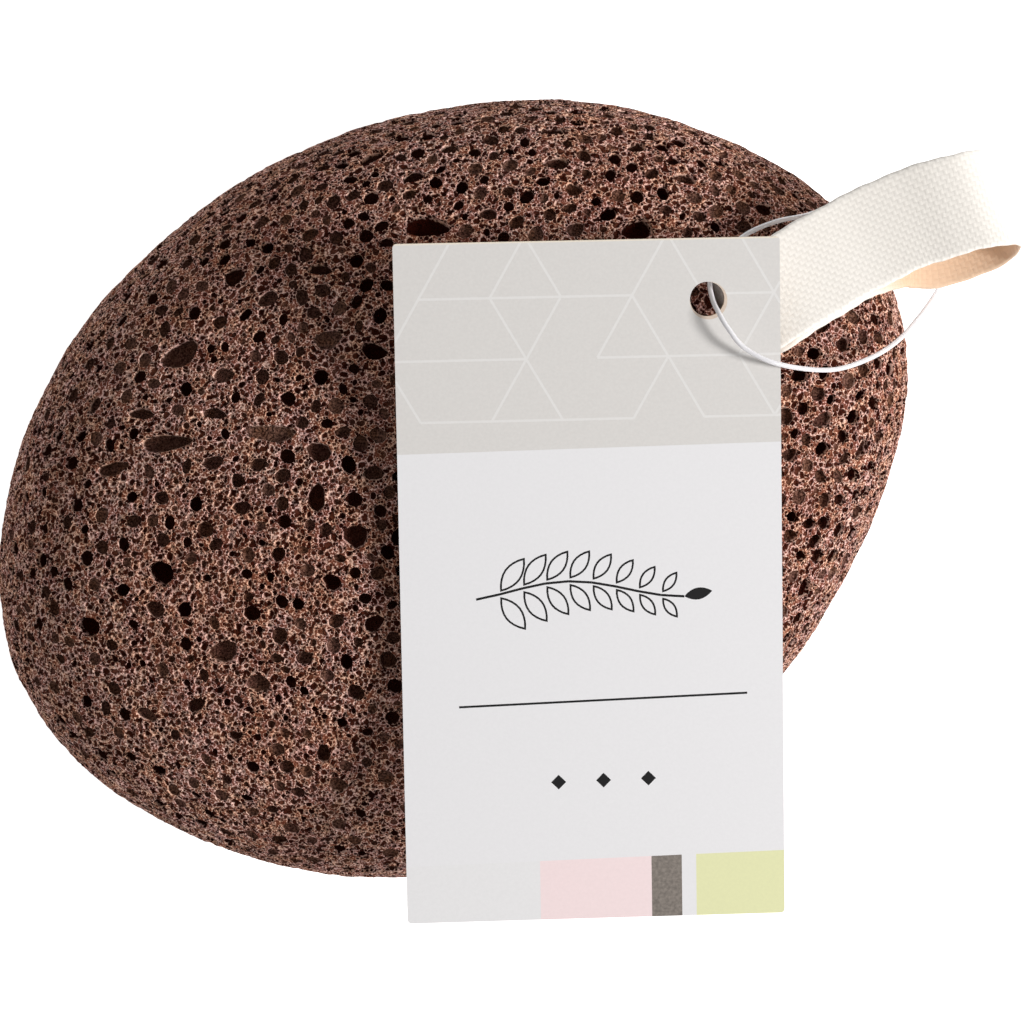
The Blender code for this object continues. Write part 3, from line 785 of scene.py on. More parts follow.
def add_pores(skin, centres, radii, site, rings, sides, rng):
    """Many round pores at once: a rim, with the rings a second one low on the wall, and a floor for each."""
    count = len(centres)
    normals = stone_normals(stone_directions(centres))
    seeds = rng.normal(size=(count, 3))
    along = unit(np.cross(normals, seeds))
    across = np.cross(normals, along)
    squeeze = rng.uniform(*PORE_SQUEEZE, count)[:, None]
    angles = 2 * math.pi * (np.arange(sides) + rng.random((count, 1))) / sides
    sites = site + np.arange(count)
    share_deep = rng.choice(PORE_SHARES, count, p=PORE_ODDS)
    deep = radii * share_deep
    shades = rng.uniform(*PORE_SHADE, count)
    dust = np.clip(PORE_DUST - share_deep, 0, 1)
    wave = 1 + PORE_OVAL * np.sin(2 * angles + rng.uniform(0, 6, (count, 1)))
    wave += rng.uniform(-PORE_RIM_WAVE, PORE_RIM_WAVE, (count, sides))
    for scale, share, shade in rings:
        x = (scale * radii[:, None] * wave * np.cos(angles))[..., None] * along[:, None]
        y = (scale * radii[:, None] * wave * squeeze * np.sin(angles))[..., None] * across[:, None]
        places = (centres[:, None] + x + y).reshape(-1, 3)
        sunk, owners, dusty, hollow = (
            np.repeat(values, sides) for values in (share * deep, sites, dust * (share > 0), deep)
        )
        loops = skin.add(places, sunk, shade, owners, share == 0, dusty, hollow)
        skin.loops.append(ring_loops(loops.reshape(count, sides)))
    skin.add(centres, deep, shades, sites, False, dust, deep)


def add_slot(skin, site):
    """The slot's rim on the skin, a ring inside it for its floor, and where its floor really lies."""
    mouth, axis, along, across = slot_frame()
    half_straight = (SLOT_LENGTH - SLOT_WIDTH) / 2
    turns = np.linspace(-math.pi / 2, math.pi / 2, SLOT_END_STEPS)
    end = half_straight + SLOT_WIDTH / 2 * np.cos(turns)
    side = SLOT_WIDTH / 2 * np.sin(turns)
    u = np.concatenate((end, -end))
    v = np.concatenate((side, -side))
    outline = mouth + u[:, None] * along + v[:, None] * across
    # Slides each point of the outline along the axis until it lies on the pebble
    low, high = np.full(len(u), -SLOT_DEPTH), np.full(len(u), SLOT_DEPTH)
    for _ in range(SLOT_SEARCH_STEPS):
        middle = (low + high) / 2
        points = outline + middle[:, None] * axis
        directions = stone_directions(points)
        inside = ((points - stone_surface(directions)) * stone_normals(directions)).sum(1) < 0
        low = np.where(inside, middle, low)
        high = np.where(inside, high, middle)
    rim = outline + low[:, None] * axis
    loop = skin.add(rim, 0.0, 0.0, site, True)
    skin.loops.append(ring_loops(loop[None]))
    heart = rim.mean(0)
    below = skin.add(heart + SLOT_FLOOR_SHARE * (rim - heart), 0.0, 1.0, site, False)
    skin.loops.append(ring_loops(below[None]))
    last = skin.add(heart, 0.0, 1.0, site, False)
    indices = np.concatenate((below, last))
    return indices, np.vstack((outline - SLOT_DEPTH * axis, mouth - SLOT_DEPTH * axis))


def join_up(places, loops):
    """Triangles through the points, each joined to its nearest on the opened-out pebble."""
    flat = [Vector(point) for point in spread_flat(places)]
    _, _, faces, origins, _, _ = delaunay_2d_cdt(flat, loops.tolist(), [], 0, JOIN_TOLERANCE)
    if any(not origin for origin in origins):
        raise RuntimeError("two rims of the foam cross")
    return np.array([[origins[corner][0] for corner in face] for face in faces])


def smooth_noise(points, wavelength, rng):
    """Slow random relief between -1 and 1 with about the given wavelength."""
    total = np.zeros(len(points))
    for _ in range(SLOW_WAVES):
        heading = unit(rng.normal(size=3)) * 2 * math.pi / wavelength * rng.uniform(*SLOW_SPREAD)
        total += np.sin(points @ heading + rng.uniform(0, 6.28))
    return total / SLOW_SCALE


def all_pits():
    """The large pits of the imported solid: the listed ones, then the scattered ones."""
    rng = random.Random(SEED)
    placed = [make_pit(crown_point(x, y), *shape, rng.uniform(0, 2 * math.pi)) for x, y, *shape in CROWN_PITS]
    for azimuth, height, *shape in RIM_BITES:
        placed.append(make_pit(flank_point(azimuth, height), *shape, rng.uniform(0, 2 * math.pi)))
    return scatter_pits(rng, placed)


def open_holes(skin, pits, centres, radii, rng):
    """Adds the pole, slot, pits and round pores; returns the slot's floor and the next free site."""
    turns = 2 * math.pi * np.arange(POLE_RING_SIDES) / POLE_RING_SIDES
    pole = POLE_RING_RADIUS * np.column_stack((np.cos(turns), np.sin(turns), np.zeros(POLE_RING_SIDES)))
    skin.add(pole, 0.0, POLE_SHADE, 0, True)
    slot_floor = add_slot(skin, 1)
    site = 2
    for pit in pits:
        add_pit(skin, pit, site, rng)
        site += 1
    wide = int((radii > WIDE_PORE).sum())
    add_pores(skin, centres[:wide], radii[:wide], site, WIDE_PORE_RINGS, WIDE_PORE_SIDES, rng)
    add_pores(skin, centres[wide:], radii[wide:], site + wide, NARROW_PORE_RINGS, NARROW_PORE_SIDES, rng)
    return slot_floor, site + len(centres)


def clear_of_holes(middles, pits, centres, radii):
    """Which middles of small cells lie clear of the slot, the pole, the pits and the round pores."""
    clear = outside_slot(middles, CELL_GAP) > 0
    clear &= np.linalg.norm(middles, axis=1) > POLE_RING_RADIUS + CELL_GAP
    for pit in pits:
        near, steps, _ = around_pit(middles, pit, PIT_CELL_REACH)
        clear[near] &= steps > PIT_CELL_EDGE + CELL_GAP / np.linalg.norm(pit["across"])
    for centre, radius in zip(centres, radii):
        reach = np.abs(middles - centre).max(1)
        clear &= reach > PORE_HEART * radius
        near = np.flatnonzero(reach < radius + CELL_GAP)
        clear[near] &= np.linalg.norm(middles[near] - centre, axis=1) > radius + CELL_GAP
    return clear


def add_cells(skin, middles, first_cell, rng):
    """The small cells and the ridge corners between them, where three cells or pores meet."""
    depths = rng.uniform(*CELL_DEPTH, len(middles))
    shades = rng.uniform(*CELL_SHADE, len(middles)) + COARSE_SHADE * coarseness(middles)
    cells = first_cell + np.arange(len(middles))
    on_ridge = np.flatnonzero(skin.joined("ridges"))
    ridge_number = np.full(skin.size, -1)
    ridge_number[on_ridge] = np.arange(len(on_ridge))
    rims = ridge_number[np.concatenate(skin.loops)]
    rims = rims[(rims >= 0).all(1)]
    places = np.vstack((skin.joined("places")[on_ridge], middles))
    faces = join_up(places, rims)
    near = np.concatenate((skin.joined("sites")[on_ridge], cells))[faces]
    meeting = (near[:, 0] != near[:, 1]) & (near[:, 1] != near[:, 2]) & (near[:, 0] != near[:, 2])
    skin.add(middles, depths, shades, cells, False, 0.0, depths)
    skin.add(places[faces[meeting]].mean(1), 0.0, 0.0, -1, True)


def skin_mesh(skin, slot_floor, rng):
    """The closed mesh through the skin's points, sunk and roughened, with its shades as attributes."""
    places, depths, ridges = (skin.joined(name) for name in ("places", "depths", "ridges"))
    faces = join_up(places, np.concatenate(skin.loops))
    normals = stone_normals(stone_directions(places))
    relief = RIDGE_RELIEF * rng.uniform(-1, 1, len(places)) * ridges
    relief += SLOW_RELIEF * smooth_noise(places, SLOW_WAVELENGTH, rng)
    points = places + (relief - depths - SKIN_SINK)[:, None] * normals
    points[:, 2] = np.maximum(points[:, 2], np.where(places[:, 2] < FLAT_HEIGHT, depths, 0))
    floor_points, floor_places = slot_floor
    points[floor_points] = floor_places

    mesh = bpy.data.meshes.new("foam stone")
    polygons = faces.tolist() + [list(range(POLE_RING_SIDES))[::-1]]
    mesh.from_pydata((points * MM).tolist(), [], polygons)
    mesh.update()
    for name, column in (("shade", "shades"), ("depth", "hollows"), ("dust", "dusts")):
        marks = mesh.attributes.new(name, "FLOAT", "POINT")
        marks.data.foreach_set("value", skin.joined(column).astype(np.float32))
    mesh.shade_smooth()
    edges = np.zeros(len(mesh.edges) * 2, np.int32)
    mesh.edges.foreach_get("vertices", edges)
    sharp = mesh.attributes.new("sharp_edge", "BOOLEAN", "EDGE")
    sharp.data.foreach_set("value", ridges[edges.reshape(-1, 2)].all(1))
    return mesh


def make_foam(settings, material):
    """The whole stone as one closed skin."""
    pits = all_pits()
    rng = np.random.default_rng(SEED)
    middles = cell_middles(settings.cell_spacing, material)
    # A second try for each pore stands a little aside of the first
    tries = np.vstack((middles, middles + rng.normal(0, PORE_JITTER, middles.shape)))
    tries = stone_surface(stone_directions(tries))
    centres, radii = throw_pores(rng, tries, pits, settings.pore_count, settings.pore_radius / MM)
    skin = Skin()
    slot_floor, first_cell = open_holes(skin, pits, centres, radii, rng)
    clear = clear_of_holes(middles, pits, centres, radii)
    clear &= rng.random(len(middles)) > COARSE_THINNING * coarseness(middles)
    add_cells(skin, middles[clear], first_cell, rng)
    return skin_mesh(skin, slot_floor, rng)


# The stone's material: sizes in metres, colours in sRGB

GRIT_SIZE = 0.0002
GRAIN_SIZE = 0.0016
PATCH_SIZE = 0.014
BUMP_HEIGHT = 0.0003
RAGGEDNESS = 0.07
WALL_MIDDLE = "#8B5847"
# Hole colours from shallow to deep: their darkening with depth is painted shade
SHALLOW_HOLE = "#744838"
MIDDLE_HOLE = "#4A2216"
DARK_DUST = "#3A241D"
PALE_DUST = "#9A7565"
DUST_COVER = 0.75
RUST = (0.9, 0.62, 0.42, 1.0)
# Bubbles too fine for the mesh, drawn as dots of painted shade and a bump: spacing, and how far from a middle
# one begins and is full
FINE_BUBBLES = ((0.00043, 0.5, 0.3), (0.00076, 0.37, 0.29))
BUBBLE_DEPTH = 0.6


def open_bubbles(tree, place, inward, height):
    """Adds round bubbles, cut open wherever they lie, to how far inside a hole a point is and its height."""
    for spacing, outer, inner in FINE_BUBBLES:
        bubbles = add_node(tree, "ShaderNodeTexVoronoi", {"Vector": place, "Scale": 1 / spacing})
        opened = add_node(tree, "ShaderNodeMapRange", {
            "Value": bubbles.outputs["Distance"],
            "From Min": outer,
            "From Max": inner,
            "To Max": BUBBLE_DEPTH,
        }).outputs[0]
        inward = add_node(tree, "ShaderNodeMath", {0: inward, 1: opened}, operation="MAXIMUM").outputs[0]
        height = add_node(tree, "ShaderNodeMath", {0: height, 1: opened}, operation="SUBTRACT").outputs[0]
    return inward, height


def wall_colours(tree, settings, inward, grit):
    """The ground walls between the holes, palest along the rims, where the pale band is partly a painted
    highlight.
    """
    rims = add_node(tree, "ShaderNodeMath", {0: inward, 1: 0.8, 2: grit}, operation="MULTIPLY_ADD")
    return set_ramp(add_node(tree, "ShaderNodeValToRGB", {"Fac": rims}), [
        (0.36, linear(settings.wall_colour)),
        (0.56, linear(WALL_MIDDLE)),
        (0.7, linear(settings.rim_and_highlight_colour)),
    ]).outputs[0]


def hole_colours(tree, settings, depth, dust, grit):
    """Red-brown that darkens with a hole's depth as painted shade, and grey-brown dust in the shallow pits.
    """
    holes = set_ramp(add_node(tree, "ShaderNodeValToRGB", {"Fac": depth}), [
        (0.12, linear(SHALLOW_HOLE)),
        (0.33, linear(MIDDLE_HOLE)),
        (0.65, linear(settings.deep_shade_colour)),
    ])
    dusty = set_ramp(add_node(tree, "ShaderNodeValToRGB", {"Fac": grit}), [
        (0.35, linear(DARK_DUST)),
        (0.65, linear(PALE_DUST)),
    ])
    amount = add_node(tree, "ShaderNodeMath", {0: dust, 1: DUST_COVER}, operation="MULTIPLY")
    return add_node(tree, "ShaderNodeMix", {
        "Factor": amount, "A": holes, "B": dusty,
    }, data_type="RGBA").outputs["Result"]


def tint_stone(tree, place, colour):
    """Patches of rustier stone, 8 to 20 mm across, and single orange or mauve grains, 1 to 2 mm across."""
    patches = add_node(tree, "ShaderNodeTexNoise", {"Vector": place, "Scale": 1 / PATCH_SIZE, "Detail": 3.0})
    rust = add_node(tree, "ShaderNodeMapRange", {
        "Value": patches, "From Min": 0.45, "From Max": 0.7, "To Max": 0.25,
    })
    grains = add_node(tree, "ShaderNodeTexNoise", {"Vector": place, "Scale": 1 / GRAIN_SIZE, "Detail": 2.0})
    hues = set_ramp(add_node(tree, "ShaderNodeValToRGB", {"Fac": grains}), [
        (0.36, (0.97, 0.88, 0.92, 1.0)),
        (0.5, (1.0, 0.97, 0.94, 1.0)),
        (0.64, (1.0, 0.88, 0.74, 1.0)),
    ])
    for amount, tint in ((rust, RUST), (1.0, hues)):
        colour = add_node(tree, "ShaderNodeMix", {
            "Factor": amount, "A": colour, "B": tint,
        }, data_type="RGBA", blend_type="MULTIPLY").outputs["Result"]
    return colour


def lava_material(settings):
    """Vesicular basalt scoria, sawn and tumbled: dry and matt; painted highlights on its pale ground walls,
    painted shade in its pores.
    """
    material, tree, shader = new_material("tumbled red lava foam", 0.95, Specular_IOR_Level=0.06)
    place = add_node(tree, "ShaderNodeTexCoord").outputs["Object"]
    shade, depth, dust = (
        add_node(tree, "ShaderNodeAttribute", attribute_name=name).outputs["Fac"]
        for name in ("shade", "depth", "dust")
    )
    grit = add_node(
        tree, "ShaderNodeTexNoise", {"Vector": place, "Scale": 1 / GRIT_SIZE, "Detail": 2.0}
    ).outputs[0]
    ragged = add_node(tree, "ShaderNodeMapRange", {
        "Value": grit, "From Min": 0.3, "From Max": 0.7, "To Min": -RAGGEDNESS, "To Max": RAGGEDNESS,
    }).outputs[0]
    inward = add_node(tree, "ShaderNodeMath", {0: shade, 1: ragged}, operation="ADD").outputs[0]
    inward, height = open_bubbles(tree, place, inward, ragged)
    inside = add_node(tree, "ShaderNodeMapRange", {"Value": inward, "From Min": 0.26, "From Max": 0.5})
    foam = add_node(tree, "ShaderNodeMix", {
        "Factor": inside,
        "A": wall_colours(tree, settings, inward, grit),
        "B": hole_colours(tree, settings, depth, dust, grit),
    }, data_type="RGBA")
    tree.links.new(tint_stone(tree, place, foam.outputs["Result"]), shader.inputs["Base Color"])
    bump = add_node(tree, "ShaderNodeBump", {"Height": height, "Strength": 0.8, "Distance": BUMP_HEIGHT})
    tree.links.new(bump.outputs[0], shader.inputs["Normal"])
    return material


class PUMICE_OT_stone(bpy.types.Operator):
    """Build the pebble of lava foam with its pits, pores, cells and slot"""

    bl_idname = "pumice.stone"
    bl_label = "Stone"

    def execute(self, context):
        settings = context.scene.pumice_stone
        material = lava_material(settings)
        stone = add_object("lava_stone", make_foam(settings, material), material)
        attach(stone, "root")
        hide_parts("stone")
        return {"FINISHED"}


# The woven loop

def smooth_course(points, steps, closed):
    """A smooth curve through the points, with the given number of steps between each two."""
    points = np.array(points, float)
    count = len(points)
    curve = []
    for index in range(count if closed else count - 1):
        if closed:
            before, start, end, after = (points[(index + k) % count] for k in (-1, 0, 1, 2))
        else:
            before, start, end, after = (points[min(max(index + k, 0), count - 1)] for k in (-1, 0, 1, 2))
        for t in np.arange(steps) / steps:
            curve.append(
                0.5 * (2 * start + (end - before) * t + (2 * before - 5 * start + 4 * end - after) * t**2
                       + (3 * start - before - 3 * end + after) * t**3)
            )
    if not closed:
        curve.append(points[-1])
    return np.array(curve)


COURSE_STEPS = 24
RING_STEPS = 8


def even_course(points, spacing):
    """The smooth open curve through the points, cut into equal lengths close to the spacing."""
    fine = smooth_course(points, COURSE_STEPS, closed=False)
    lengths = np.r_[0, np.cumsum(np.linalg.norm(np.diff(fine[:, :3], axis=0), axis=1))]
    places = np.linspace(0, lengths[-1], round(lengths[-1] / spacing) + 1)
    return np.column_stack([np.interp(places, lengths, column) for column in fine.T]), lengths[-1]


def tape_frames(course):
    """At each point of the course, the tape's middle, its width direction and its thickness direction."""
    middles = course[:, :3]
    travel = unit(np.gradient(middles, axis=0))
    angles = np.radians(course[:, 3] + 90)
    wide = np.column_stack((np.cos(angles), np.sin(angles), np.zeros(len(angles))))
    wide = unit(wide - (wide * travel).sum(1)[:, None] * travel)
    return middles, wide, np.cross(travel, wide)


def strip_faces(number, under):
    """Quads over the upper and lower grids of points and round the four edges between them."""
    top = np.stack((number[:-1, :-1], number[:-1, 1:], number[1:, 1:], number[1:, :-1]), -1)
    base = np.stack((under[:-1, :-1], under[1:, :-1], under[1:, 1:], under[:-1, 1:]), -1)
    walls = [
        np.stack((number[:-1, 0], number[1:, 0], under[1:, 0], under[:-1, 0]), -1),
        np.stack((number[:-1, -1], under[:-1, -1], under[1:, -1], number[1:, -1]), -1),
        np.stack((number[0, :-1], under[0, :-1], under[0, 1:], number[0, 1:]), -1),
        np.stack((number[-1, :-1], number[-1, 1:], under[-1, 1:], under[-1, :-1]), -1),
    ]
    return np.concatenate((top.reshape(-1, 4), base.reshape(-1, 4), *walls))


def tape_mesh(pitch):
    """Both faces and the edges of the tape, raised and sunk where threads pass over and under each other."""
    course, length = even_course(TAPE_COURSE, pitch / 2)
    middles, wide, thick = tape_frames(course)
    rows = len(course)
    columns = 2 * round(TAPE_WIDTH / pitch) + 1
    across = np.linspace(-0.5, 0.5, columns)
    half = TAPE_THICKNESS / 2
    # The faces thin out to rounded selvedges
    profile = half * np.clip((0.5 - np.abs(across)) * TAPE_WIDTH / half, SELVEDGE_SHARE, 1) ** 0.5
    row_number, column_number = np.meshgrid(np.arange(rows), np.arange(columns), indexing="ij")
    weave = WEAVE_RELIEF * np.where((row_number // 2 + column_number // 2) % 2, 1.0, -1.0)
    weave *= (row_number % 2 + column_number % 2) / 2
    wander = sum(size * np.sin(np.arange(rows) * pace + start) for size, pace, start in SELVEDGE_WANDER)
    spread = across * TAPE_WIDTH + np.sign(across) * np.abs(2 * across) ** WANDER_POWER * wander[:, None]
    flat = middles[:, None] + spread[..., None] * wide[:, None]
    upper = flat + (profile - WEAVE_ROOM + weave)[..., None] * thick[:, None]
    lower = flat - (profile - WEAVE_ROOM - weave)[..., None] * thick[:, None]
    points = np.concatenate((upper.reshape(-1, 3), lower.reshape(-1, 3)))
    number = np.arange(rows * columns).reshape(rows, columns)
    under = number + rows * columns
    mesh = bpy.data.meshes.new("woven tape")
    mesh.from_pydata((points * MM).tolist(), [], strip_faces(number, under).tolist())
    shape = bmesh.new()
    shape.from_mesh(mesh)
    bmesh.ops.recalc_face_normals(shape, faces=shape.faces)
    shape.to_mesh(mesh)
    shape.free()
    # The map counts threads: one unit is one thread each way
    mapping = mesh.uv_layers.new(name="threads")
    corner_points = np.zeros(len(mesh.loops), np.int32)
    mesh.loops.foreach_get("vertex_index", corner_points)
    thread = np.tile(np.column_stack((column_number.ravel() / 2, row_number.ravel() / 2)), (2, 1))
    mapping.data.foreach_set("uv", thread[corner_points].astype(np.float32).ravel())
    # Painted warm bounce light: 0 on the face outside the loop, and up to 1 on the one inside it, where light
    # reaches it
    tan = np.repeat(np.clip((middles[:, 0] - TAN_START) / TAN_RUN, TAN_LEAST, 1), columns)
    inside_light = mesh.attributes.new("inside_light", "FLOAT", "POINT")
    inside_light.data.foreach_set("value", np.concatenate((np.zeros(len(tan)), tan)).astype(np.float32))
    mesh.shade_smooth()
    return mesh, length


FLUFF_SIZE = 0.00015
THREAD_HEIGHT = 0.00006


def cotton_material(settings):
    """Unbleached cotton tape, plain weave: soft, matt and a little hairy, with painted warm bounce light
    inside the open loop.
    """
    material, tree, shader = new_material(
        "unbleached cotton tape", 0.9, Sheen_Weight=0.25, Sheen_Roughness=0.5
    )
    threads = add_node(tree, "ShaderNodeUVMap", uv_map="threads").outputs[0]
    parts = add_node(tree, "ShaderNodeSeparateXYZ", {0: threads})
    checks = add_node(tree, "ShaderNodeTexChecker", {"Vector": threads, "Scale": 1.0})
    rounds = []
    for axis in ("X", "Y"):
        turn = add_node(tree, "ShaderNodeMath", {0: parts.outputs[axis], 1: math.pi}, operation="MULTIPLY")
        wave = add_node(tree, "ShaderNodeMath", {0: turn}, operation="SINE")
        rounds.append(add_node(tree, "ShaderNodeMath", {0: wave}, operation="ABSOLUTE").outputs[0])
    woven = add_node(tree, "ShaderNodeMix", {"Factor": checks.outputs["Fac"], "A": rounds[0], "B": rounds[1]})
    place = add_node(tree, "ShaderNodeTexCoord").outputs["Object"]
    # Loose fibres, and the uneven spinning of the threads
    fluff = add_node(tree, "ShaderNodeTexNoise", {"Vector": place, "Scale": 1 / FLUFF_SIZE, "Detail": 4.0})
    uneven = add_node(tree, "ShaderNodeTexNoise", {"Vector": threads, "Scale": 0.7, "Detail": 2.0})
    height = add_node(tree, "ShaderNodeMath", {0: fluff, 1: 0.5, 2: woven}, operation="MULTIPLY_ADD")
    lit = add_node(tree, "ShaderNodeMath", {0: uneven, 1: 0.5, 2: height}, operation="MULTIPLY_ADD")
    # The tones darken the weave between threads as painted shade, over the real uneven spinning and loose
    # fibres.
    tones = set_ramp(add_node(tree, "ShaderNodeValToRGB", {"Fac": lit}), [
        (0.25, (0.9, 0.89, 0.87, 1.0)),
        (0.9, (1.0, 1.0, 1.0, 1.0)),
    ])
    inside_light = add_node(tree, "ShaderNodeAttribute", attribute_name="inside_light").outputs["Fac"]
    yarn = add_node(tree, "ShaderNodeMix", {
        "Factor": inside_light, "A": linear(settings.cotton_colour), "B": linear(settings.inside_light_colour),
    }, data_type="RGBA")
    shaded = add_node(tree, "ShaderNodeMix", {
        "Factor": 1.0, "A": yarn.outputs["Result"], "B": tones,
    }, data_type="RGBA", blend_type="MULTIPLY")
    tree.links.new(shaded.outputs["Result"], shader.inputs["Base Color"])
    bump = add_node(tree, "ShaderNodeBump", {"Height": height, "Strength": 0.4, "Distance": THREAD_HEIGHT})
    tree.links.new(bump.outputs[0], shader.inputs["Normal"])
    return material


class PUMICE_OT_tape(bpy.types.Operator):
    """Build the woven cotton loop"""

    bl_idname = "pumice.tape"
    bl_label = "Hanging tape"

    def execute(self, context):
        settings = context.scene.pumice_tape
        mesh, length = tape_mesh(settings.thread_pitch / MM)
        tape = add_object("cotton_loop", mesh, cotton_material(settings))
        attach(tape, "root")
        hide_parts("hanging_tape")
        return {"FINISHED"}


# The card hang tag

def tag_matrix():
    """Turns the tag's own width, height and thickness to where it rests on the stone."""
    right = Vector(TAG_RIGHT).normalized()
    face = right.cross(Vector(TAG_UP)).normalized()
    up = face.cross(right)
    turn = Matrix((right, up, face)).transposed().to_4x4()
    return Matrix.Translation(Vector(TAG_CENTRE) * MM) @ turn


def card_outline():
    """The card's outline with its small round corners, in the tag's millimetres."""
    outline = []
    for corner in range(4):
        side = (1 if corner in (0, 3) else -1, 1 if corner < 2 else -1)
        for step in range(TAG_CORNER_STEPS):
            turn = math.pi / 2 * (corner + step / (TAG_CORNER_STEPS - 1))
            x = side[0] * (TAG_WIDTH / 2 - TAG_CORNER_RADIUS) + TAG_CORNER_RADIUS * math.cos(turn)
            y = side[1] * (TAG_HEIGHT / 2 - TAG_CORNER_RADIUS) + TAG_CORNER_RADIUS * math.sin(turn)
            outline.append((x, y))
    return outline


def stroke(start, end, width):
    """A straight printed line as a four-sided shape."""
    start, end = Vector(start), Vector(end)
    side = (end - start).normalized().orthogonal() * width / 2
    return [tuple(p) for p in (start - side, end - side, end + side, start + side)]


def circle(middle, radius):
    """A round outline."""
    turns = [2 * math.pi * k / TAG_HOLE_SIDES for k in range(TAG_HOLE_SIDES)]
    return [(middle[0] + radius * math.cos(t), middle[1] + radius * math.sin(t)) for t in turns]


def leaf(base, tip, width, inset=0.0):
    """A pointed leaf between two points, drawn smaller by the inset."""
    base, tip = Vector(base), Vector(tip)
    heading = (tip - base).normalized()
    base, tip = base + heading * inset * LEAF_POINT, tip - heading * inset * LEAF_POINT
    side = heading.orthogonal() * (width / 2 - inset)
    steps = [k / LEAF_STEPS for k in range(LEAF_STEPS + 1)]
    bulge = [math.sin(math.pi * t) ** LEAF_FULLNESS for t in steps]
    left = [base.lerp(tip, t) + side * b for t, b in zip(steps, bulge)]
    right = [base.lerp(tip, t) - side * b for t, b in zip(steps, bulge)]
    return [tuple(p) for p in right + left[-2:0:-1]]


HEADER_FOOT = (13.3, 13.75)
STRIPE_TOP = (-28.2, -27.55)
STRIPES = ((-19.0, -5.6, "pale"), (-5.6, 5.6, "pink"), (5.6, 8.65, "slate"), (10.1, 19.0, "lime"))
LATTICE_STEP = 7.0
LATTICE_START = (2.4, 16.4)
LATTICE_WIDTH = 0.24
WORN_WIDTH = 0.15
STAIN_RADIUS = 1.86
STAIN_SHIFT = (0.13, -0.16)
# The printed rule: both ends and its width
RULE = ((-13.4, -12.1), (15.4, -11.4), 0.22)
# The sprig: where its stem starts, its pairs of leaves, and how much smaller each pair is
STEM_START = -11.5
STEM_STEP = 2.3
STEM_WIDTH = 0.24
# The stem's slow wave: its size, its pace from leaf to leaf, its start and its height on the card
STEM_WAVE = (0.9, 0.62, -0.9, -0.6)
LEAF_PAIRS = 8
LEAF_SIZE = 1.15
LEAF_SHRINK = 0.06
LEAF_REACH = (2.3, 3.1)
LEAF_WIDTH = 1.7
LEAF_LINE = 0.2
LEAF_STEPS = 8
LEAF_FOOT = (0.1, 0.25)
LEAF_FULLNESS = 0.85
# The line round a leaf is this many times wider at its two points
LEAF_POINT = 1.6
END_LEAF_REACH = (2.8, 0.5)
END_LEAF_WIDTH = 1.2
LOZENGES = (-3.6, 0.9, 5.4)
LOZENGE_HEIGHT = -19.9
LOZENGE_TILT = 0.017
LOZENGE_HALF = 0.75
SHORTEST_LINE = 0.02
PRINT_TOLERANCE = 1e-4
# Lines of the header's lattice: column and row of both ends, on a grid of equal triangles
LATTICE_LINES = (
    ((0, 0), (3, 0)), ((4, 0), (6, 0)), ((-1, 1), (1, 1)), ((2, 1), (5, 1)), ((-1, 2), (2, 2)),
    ((3, 2), (4, 2)), ((-2, 3), (0, 3)), ((1, 3), (4, 3)), ((0, 0), (-1, 1)), ((1, 0), (1, 2)),
    ((2, 0), (0, 2)), ((3, 0), (3, 1)), ((4, 0), (2, 2)), ((5, 0), (4, 1)), ((5, 0), (5, 1)),
    ((4, 1), (4, 3)), ((1, 2), (0, 3)), ((0, 2), (0, 4)), ((2, 2), (2, 3)), ((3, 2), (1, 4)),
    ((5, 1), (3, 3)), ((-1, 2), (-1, 4)), ((2, 3), (2, 4)), ((4, 3), (3, 4)), ((-1, 1), (-1, 2)),
    ((6, 0), (4, 2)), ((2, 1), (2, 2)),
)


def along_band(ends, x):
    """The height of a slightly turned band edge at x, from its heights at the card's left and right edges."""
    return ends[0] + (ends[1] - ends[0]) * (x / TAG_WIDTH + 0.5)


def print_shapes():
    """The printed areas from the bottom ink to the top one: ink name and outline in the tag's millimetres."""
    half = TAG_WIDTH / 2
    top = TAG_HEIGHT / 2
    shapes = [("card", card_outline())]
    shapes.append(("header", [(-half, HEADER_FOOT[0]), (half, HEADER_FOOT[1]), (half, top), (-half, top)]))
    for start, end in LATTICE_LINES:
        ends = [
            (
                -half + LATTICE_START[0] + LATTICE_STEP * (column + row / 2),
                LATTICE_START[1] + LATTICE_STEP * row * math.sqrt(0.75),
            )
            for column, row in (start, end)
        ]
        line = clip_line(ends, (-half, half), (along_band(HEADER_FOOT, 0), top))
        if line:
            shapes.append(("line", stroke(*line, LATTICE_WIDTH)))
    for left, right, ink in STRIPES:
        upper_left, upper_right = along_band(STRIPE_TOP, left), along_band(STRIPE_TOP, right)
        shapes.append((ink, [(left, -top), (right, -top), (right, upper_right), (left, upper_left)]))
    shapes.append(("ink", stroke(*RULE)))
    edge = top - WORN_WIDTH / 2
    shapes.append(("worn", stroke((-half, edge), (half, edge), WORN_WIDTH)))
    shapes.append(("stain", circle(Vector(TAG_HOLE) + Vector(STAIN_SHIFT), STAIN_RADIUS)))
    shapes += sprig_shapes()
    return shapes


def clip_line(ends, across, upward):
    """The part of a line inside a box, or None."""
    (x0, y0), (x1, y1) = ends
    low, high = 0.0, 1.0
    for start, run, (least, most) in ((x0, x1 - x0, across), (y0, y1 - y0, upward)):
        if abs(run) < 1e-9:
            if not least < start < most:
                return None
            continue
        first, last = sorted(((least - start) / run, (most - start) / run))
        low, high = max(low, first), min(high, last)
    if high - low < SHORTEST_LINE:
        return None
    return [(x0 + (x1 - x0) * t, y0 + (y1 - y0) * t) for t in (low, high)]


